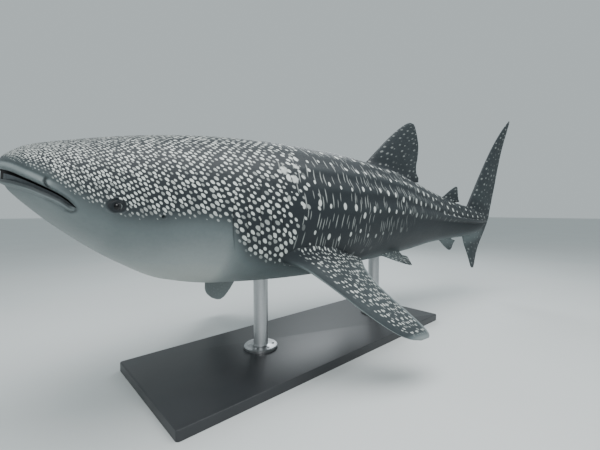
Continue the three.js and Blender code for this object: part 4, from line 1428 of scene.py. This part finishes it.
def eye_material():
    """The wet eye, with rings of colour round its gaze, one of them a pale painted highlight."""
    material, tree, shader = new_material("eye")
    level = attribute(tree, "from_gaze") + (object_noise(tree, 500.0) - 0.5) * 0.02
    tree.links.new(colour_by(tree, level, EYE_COLOURS), shader.inputs["Base Color"])
    shader.inputs["Roughness"].default_value = 0.06
    shader.inputs["IOR"].default_value = 1.38
    return material


def paint_material():
    material, tree, shader, _ = clouded("stand paint", (6.0, 5.0), (0.020, 0.022, 0.025),
                                        (0.034, 0.036, 0.040), Roughness=0.42)
    add_bump(tree, shader, object_noise(tree, 260.0, 2.0), 0.15, 0.0008)
    return material


def steel_material():
    material, tree, shader, brush = clouded(
        "brushed steel", (30.0, 5.0, (1, 1, 24)), (0.36, 0.37, 0.38), (0.56, 0.57, 0.58),
        Metallic=0.95, Roughness=0.33)
    add_bump(tree, shader, brush, 0.12, 0.0005)
    return material


# The other pieces
GAZE = np.array([-0.40, 0, -0.05])  # forwards and a little down from straight outwards


def eye_object(name, side, placement, finish):
    centre, axis = eye_centre(side)
    radius = EYE["radius"] * LENGTH
    obj = ball(f"eyeball_{name}", centre, radius, axis, 64, 40)
    gaze = axis + GAZE
    gaze /= np.linalg.norm(gaze)
    points, _ = vertex_arrays(obj.data)
    towards = ((points - centre) / radius) @ gaze
    layer = obj.data.attributes.new("from_gaze", "FLOAT", "POINT")
    layer.data.foreach_set("value", np.arccos(np.clip(towards, -1, 1)) / math.pi)
    obj.data.transform(placement)
    obj.data.materials.append(finish)
    obj.data.shade_smooth()
    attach(obj, "root")
    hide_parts(f"eye_{name}")


def smooth(obj, sharp_degrees):
    """Shades an object softly, but for edges sharper than the angle."""
    obj.data.shade_smooth()
    obj.data.set_sharp_from_angle(angle=math.radians(sharp_degrees))


SKIN_SHARP = 55  # degrees
STAND_SHARP = 30
TURNED_SIDES = 64


def lathe(name, profile, place, finish):
    """A turned piece from a profile of radius and height, at a place."""
    segments = TURNED_SIDES
    vertices, faces = [], []
    for r, z in profile:
        for i in range(segments):
            a = 2 * math.pi * i / segments
            vertices.append((place[0] + r * math.cos(a), place[1] + r * math.sin(a), place[2] + z))
    for k in range(len(profile) - 1):
        for i in range(segments):
            j = (i + 1) % segments
            a, b = k * segments, (k + 1) * segments
            faces.append((a + i, a + j, b + j, b + i))
    faces.append(tuple(range(segments))[::-1])
    faces.append(tuple(range((len(profile) - 1) * segments, len(profile) * segments)))
    mesh = bpy.data.meshes.new(name)
    mesh.from_pydata(vertices, [], faces)
    mesh.materials.append(finish)
    return new_object(name, mesh)


BASE_CORNER = {"offset": 0.02, "segments": 6}
BASE_RIM = {"offset": 0.005, "segments": 3}


def base_object(centre, finish):
    """The flat base, with round corners and a softly rounded upper rim."""
    mesh = bpy.data.meshes.new("stand_base_body")
    bm = bmesh.new()
    bmesh.ops.create_cube(bm, size=1)
    bmesh.ops.scale(bm, vec=BASE_SIZE, verts=bm.verts)
    corners = [e for e in bm.edges if abs(e.verts[0].co.z - e.verts[1].co.z) > 0.01]
    bmesh.ops.bevel(bm, geom=corners, **BASE_CORNER, affect="EDGES", profile=0.5)
    rims = [e for e in bm.edges if e.verts[0].co.z > 0 and e.verts[1].co.z > 0
            and len({f.normal.z > 0.9 for f in e.link_faces}) == 2]
    bmesh.ops.bevel(bm, geom=rims, **BASE_RIM, affect="EDGES", profile=0.5)
    bmesh.ops.translate(bm, vec=(centre.x, centre.y, BASE_SIZE[2] / 2), verts=bm.verts)
    bm.to_mesh(mesh)
    bm.free()
    mesh.materials.append(finish)
    obj = new_object("stand_base_body", mesh)
    smooth(obj, STAND_SHARP)
    return obj


SCREW = {"Count": 6, "Circle": 0.093, "Radius": 0.011, "Top Radius": 0.00902, "Height": 0.007}
SCREW_SIDES = 24
ROD_INTO_BODY = 0.03
COLLAR_FOOT = 0.001
WELD = (0.006, 0.0015)


def screw_tree():
    """A node tree that sets screws evenly round a circle and joins them to the rod."""
    tree = bpy.data.node_groups.new("collar screws", "GeometryNodeTree")
    kinds = {"Rod": "Geometry", "Count": "Int", "Circle": "Float", "Radius": "Float",
             "Top Radius": "Float", "Height": "Float", "Place": "Vector", "First Turn": "Vector",
             "Finish": "Material"}
    for name, kind in kinds.items():
        tree.interface.new_socket(name, in_out="INPUT", socket_type=f"NodeSocket{kind}")
    tree.interface.new_socket("Result", in_out="OUTPUT", socket_type="NodeSocketGeometry")
    given = tree.nodes.new("NodeGroupInput").outputs

    def made(kind, values):
        node = tree.nodes.new(f"GeometryNode{kind}")
        feed(tree, [node.inputs[name] for name in values], values.values())
        return node.outputs[0]

    circle = made("MeshCircle", {"Vertices": given["Count"], "Radius": given["Circle"]})
    spots = made("Transform", {"Geometry": circle, "Translation": given["Place"],
                               "Rotation": given["First Turn"]})
    head = made("MeshCone", {"Vertices": SCREW_SIDES, "Radius Top": given["Top Radius"],
                             "Radius Bottom": given["Radius"], "Depth": given["Height"]})
    screws = made("InstanceOnPoints", {"Points": spots, "Instance": head})
    joined = tree.nodes.new("GeometryNodeJoinGeometry")
    tree.links.new(screws, joined.inputs[0])
    tree.links.new(given["Rod"], joined.inputs[0])
    real = made("RealizeInstances", {"Geometry": joined.outputs[0]})
    result = made("SetMaterial", {"Geometry": real, "Material": given["Finish"]})
    tree.links.new(result, tree.nodes.new("NodeGroupOutput").inputs[0])
    return tree


def run_tree(obj, tree, values):
    """Runs a node tree on an object, with values for its named inputs, and keeps the plain mesh."""
    step = obj.modifiers.new(tree.name, "NODES")
    step.node_group = tree
    for socket in tree.interface.items_tree:
        if socket.name in values:
            step[socket.identifier] = values[socket.name]
    keep_result(obj)


def rod_object(name, placement, finish, screws):
    """A rod with its collar, from the base up into the belly."""
    station = ROD_STATIONS[name]
    top = placement @ Vector((LENGTH * station, LENGTH * float(swing(station)),
                              LENGTH * float(belly(station))))
    foot = BASE_SIZE[2] + GAP
    height = top.z + ROD_INTO_BODY - foot
    profile = [
        (COLLAR_RADIUS - COLLAR_FOOT, 0), (COLLAR_RADIUS, COLLAR_FOOT),
        (COLLAR_RADIUS, COLLAR_HEIGHT - COLLAR_BEVEL), (COLLAR_RADIUS - COLLAR_BEVEL, COLLAR_HEIGHT),
        (ROD_RADIUS + WELD[0], COLLAR_HEIGHT), (ROD_RADIUS + WELD[1], COLLAR_HEIGHT + WELD[1]),
        (ROD_RADIUS, COLLAR_HEIGHT + WELD[0]), (ROD_RADIUS, height),
    ]
    rod = lathe(f"stand_rod_{name}_body", profile, (top.x, top.y, foot), finish)
    run_tree(rod, screws, {
        **SCREW, "Place": (top.x, top.y, foot + COLLAR_HEIGHT),
        "First Turn": (0.0, 0.0, math.pi / SCREW["Count"]), "Finish": finish,
    })
    smooth(rod, STAND_SHARP)
    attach(rod, "root")
    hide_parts(f"stand_rod_{name}")


def area_light(name, place, towards, size, power, colour=(1, 1, 1)):
    data = bpy.data.lights.new(name, "AREA")
    data.shape = "RECTANGLE"
    data.size, data.size_y = size
    data.energy = power
    data.color = colour
    obj = new_object(name, data)
    obj.location = place
    obj.rotation_euler = (Vector(towards) - Vector(place)).to_track_quat("-Z", "Y").to_euler()


FLOOR_REACH = 60
FLOOR_DROP = 0.001


def floor_object():
    mesh = bpy.data.meshes.new("floor")
    corners = [(-1, -1), (1, -1), (1, 1), (-1, 1)]
    mesh.from_pydata([(x * FLOOR_REACH, y * FLOOR_REACH, 0) for x, y in corners], [], [(0, 1, 2, 3)])
    mesh.materials.append(clouded("floor", (0.7, 3.0), (0.60, 0.63, 0.63), (0.66, 0.69, 0.69),
                                  Roughness=0.8)[0])
    obj = new_object("floor", mesh)
    obj.location.z = -FLOOR_DROP


def studio():
    world = bpy.data.worlds.new("studio")
    world.use_nodes = True
    background = world.node_tree.nodes["Background"]
    background.inputs[0].default_value = (0.66, 0.74, 0.76, 1)
    background.inputs[1].default_value = 0.75
    bpy.context.scene.world = world
    area_light("top", (-0.8, -1.2, 5.2), (-0.4, 0.0, 1.0), (6.0, 3.5), 330)
    area_light("side", (-4.6, -4.4, 3.4), (-1.2, 0.0, 1.1), (2.5, 2.0), 150)
    area_light("rear", (3.6, 3.8, 3.8), (0.5, 0.0, 1.2), (2.5, 2.0), 120, (0.9, 0.96, 1.0))


CAMERA_FROM_SNOUT = (-0.0013, -0.3413, -0.0289)
CAMERA_TURN = (87.55, 0.0, -42.335)


def camera(snout):
    data = bpy.data.cameras.new("camera")
    data.lens = 20.0
    data.sensor_width = 36.0
    data.clip_start = 0.05
    data.clip_end = 200
    obj = new_object("camera", data)
    obj.location = snout + Vector(CAMERA_FROM_SNOUT) * LENGTH
    obj.rotation_euler = [math.radians(angle) for angle in CAMERA_TURN]
    bpy.context.scene.camera = obj


for leftover in list(bpy.data.objects):
    bpy.data.objects.remove(leftover, do_unlink=True)
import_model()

low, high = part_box("stand_base")
base_centre = (low + high) / 2
snout = Vector((base_centre.x - SNOUT_BEFORE_BASE_CENTRE, base_centre.y, SNOUT_HEIGHT))
placement = (Matrix.Translation(snout) @ Matrix.Rotation(NOSE_UP, 4, "Y")
             @ Matrix.Rotation(BANK_LEFT, 4, "X"))

skin_finishes = [body_material(border_girth()), fin_material(), lining_material(), inner_lip_material()]
paint = paint_material()
steel = steel_material()
eye_finish = eye_material()

skin = skin_object()
write_tones(skin)
skin.data.transform(placement)
smooth(skin, SKIN_SHARP)
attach(skin, "root")
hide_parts("head", "lower_jaw", "gill_region", "trunk", "tail_stalk", "first_dorsal_fin",
            "second_dorsal_fin", "anal_fin", "caudal_fin", "pectoral_fin_left", "pectoral_fin_right",
            "pelvic_fin_left", "pelvic_fin_right")
for side_name, side_sign in SIDES.items():
    eye_object(side_name, side_sign, placement, eye_finish)

base = base_object(base_centre, paint)
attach(base, "root")
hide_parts("stand_base")
screws = screw_tree()
for rod_name in ROD_STATIONS:
    rod_object(rod_name, placement, steel, screws)

floor_object()
studio()
camera(snout)
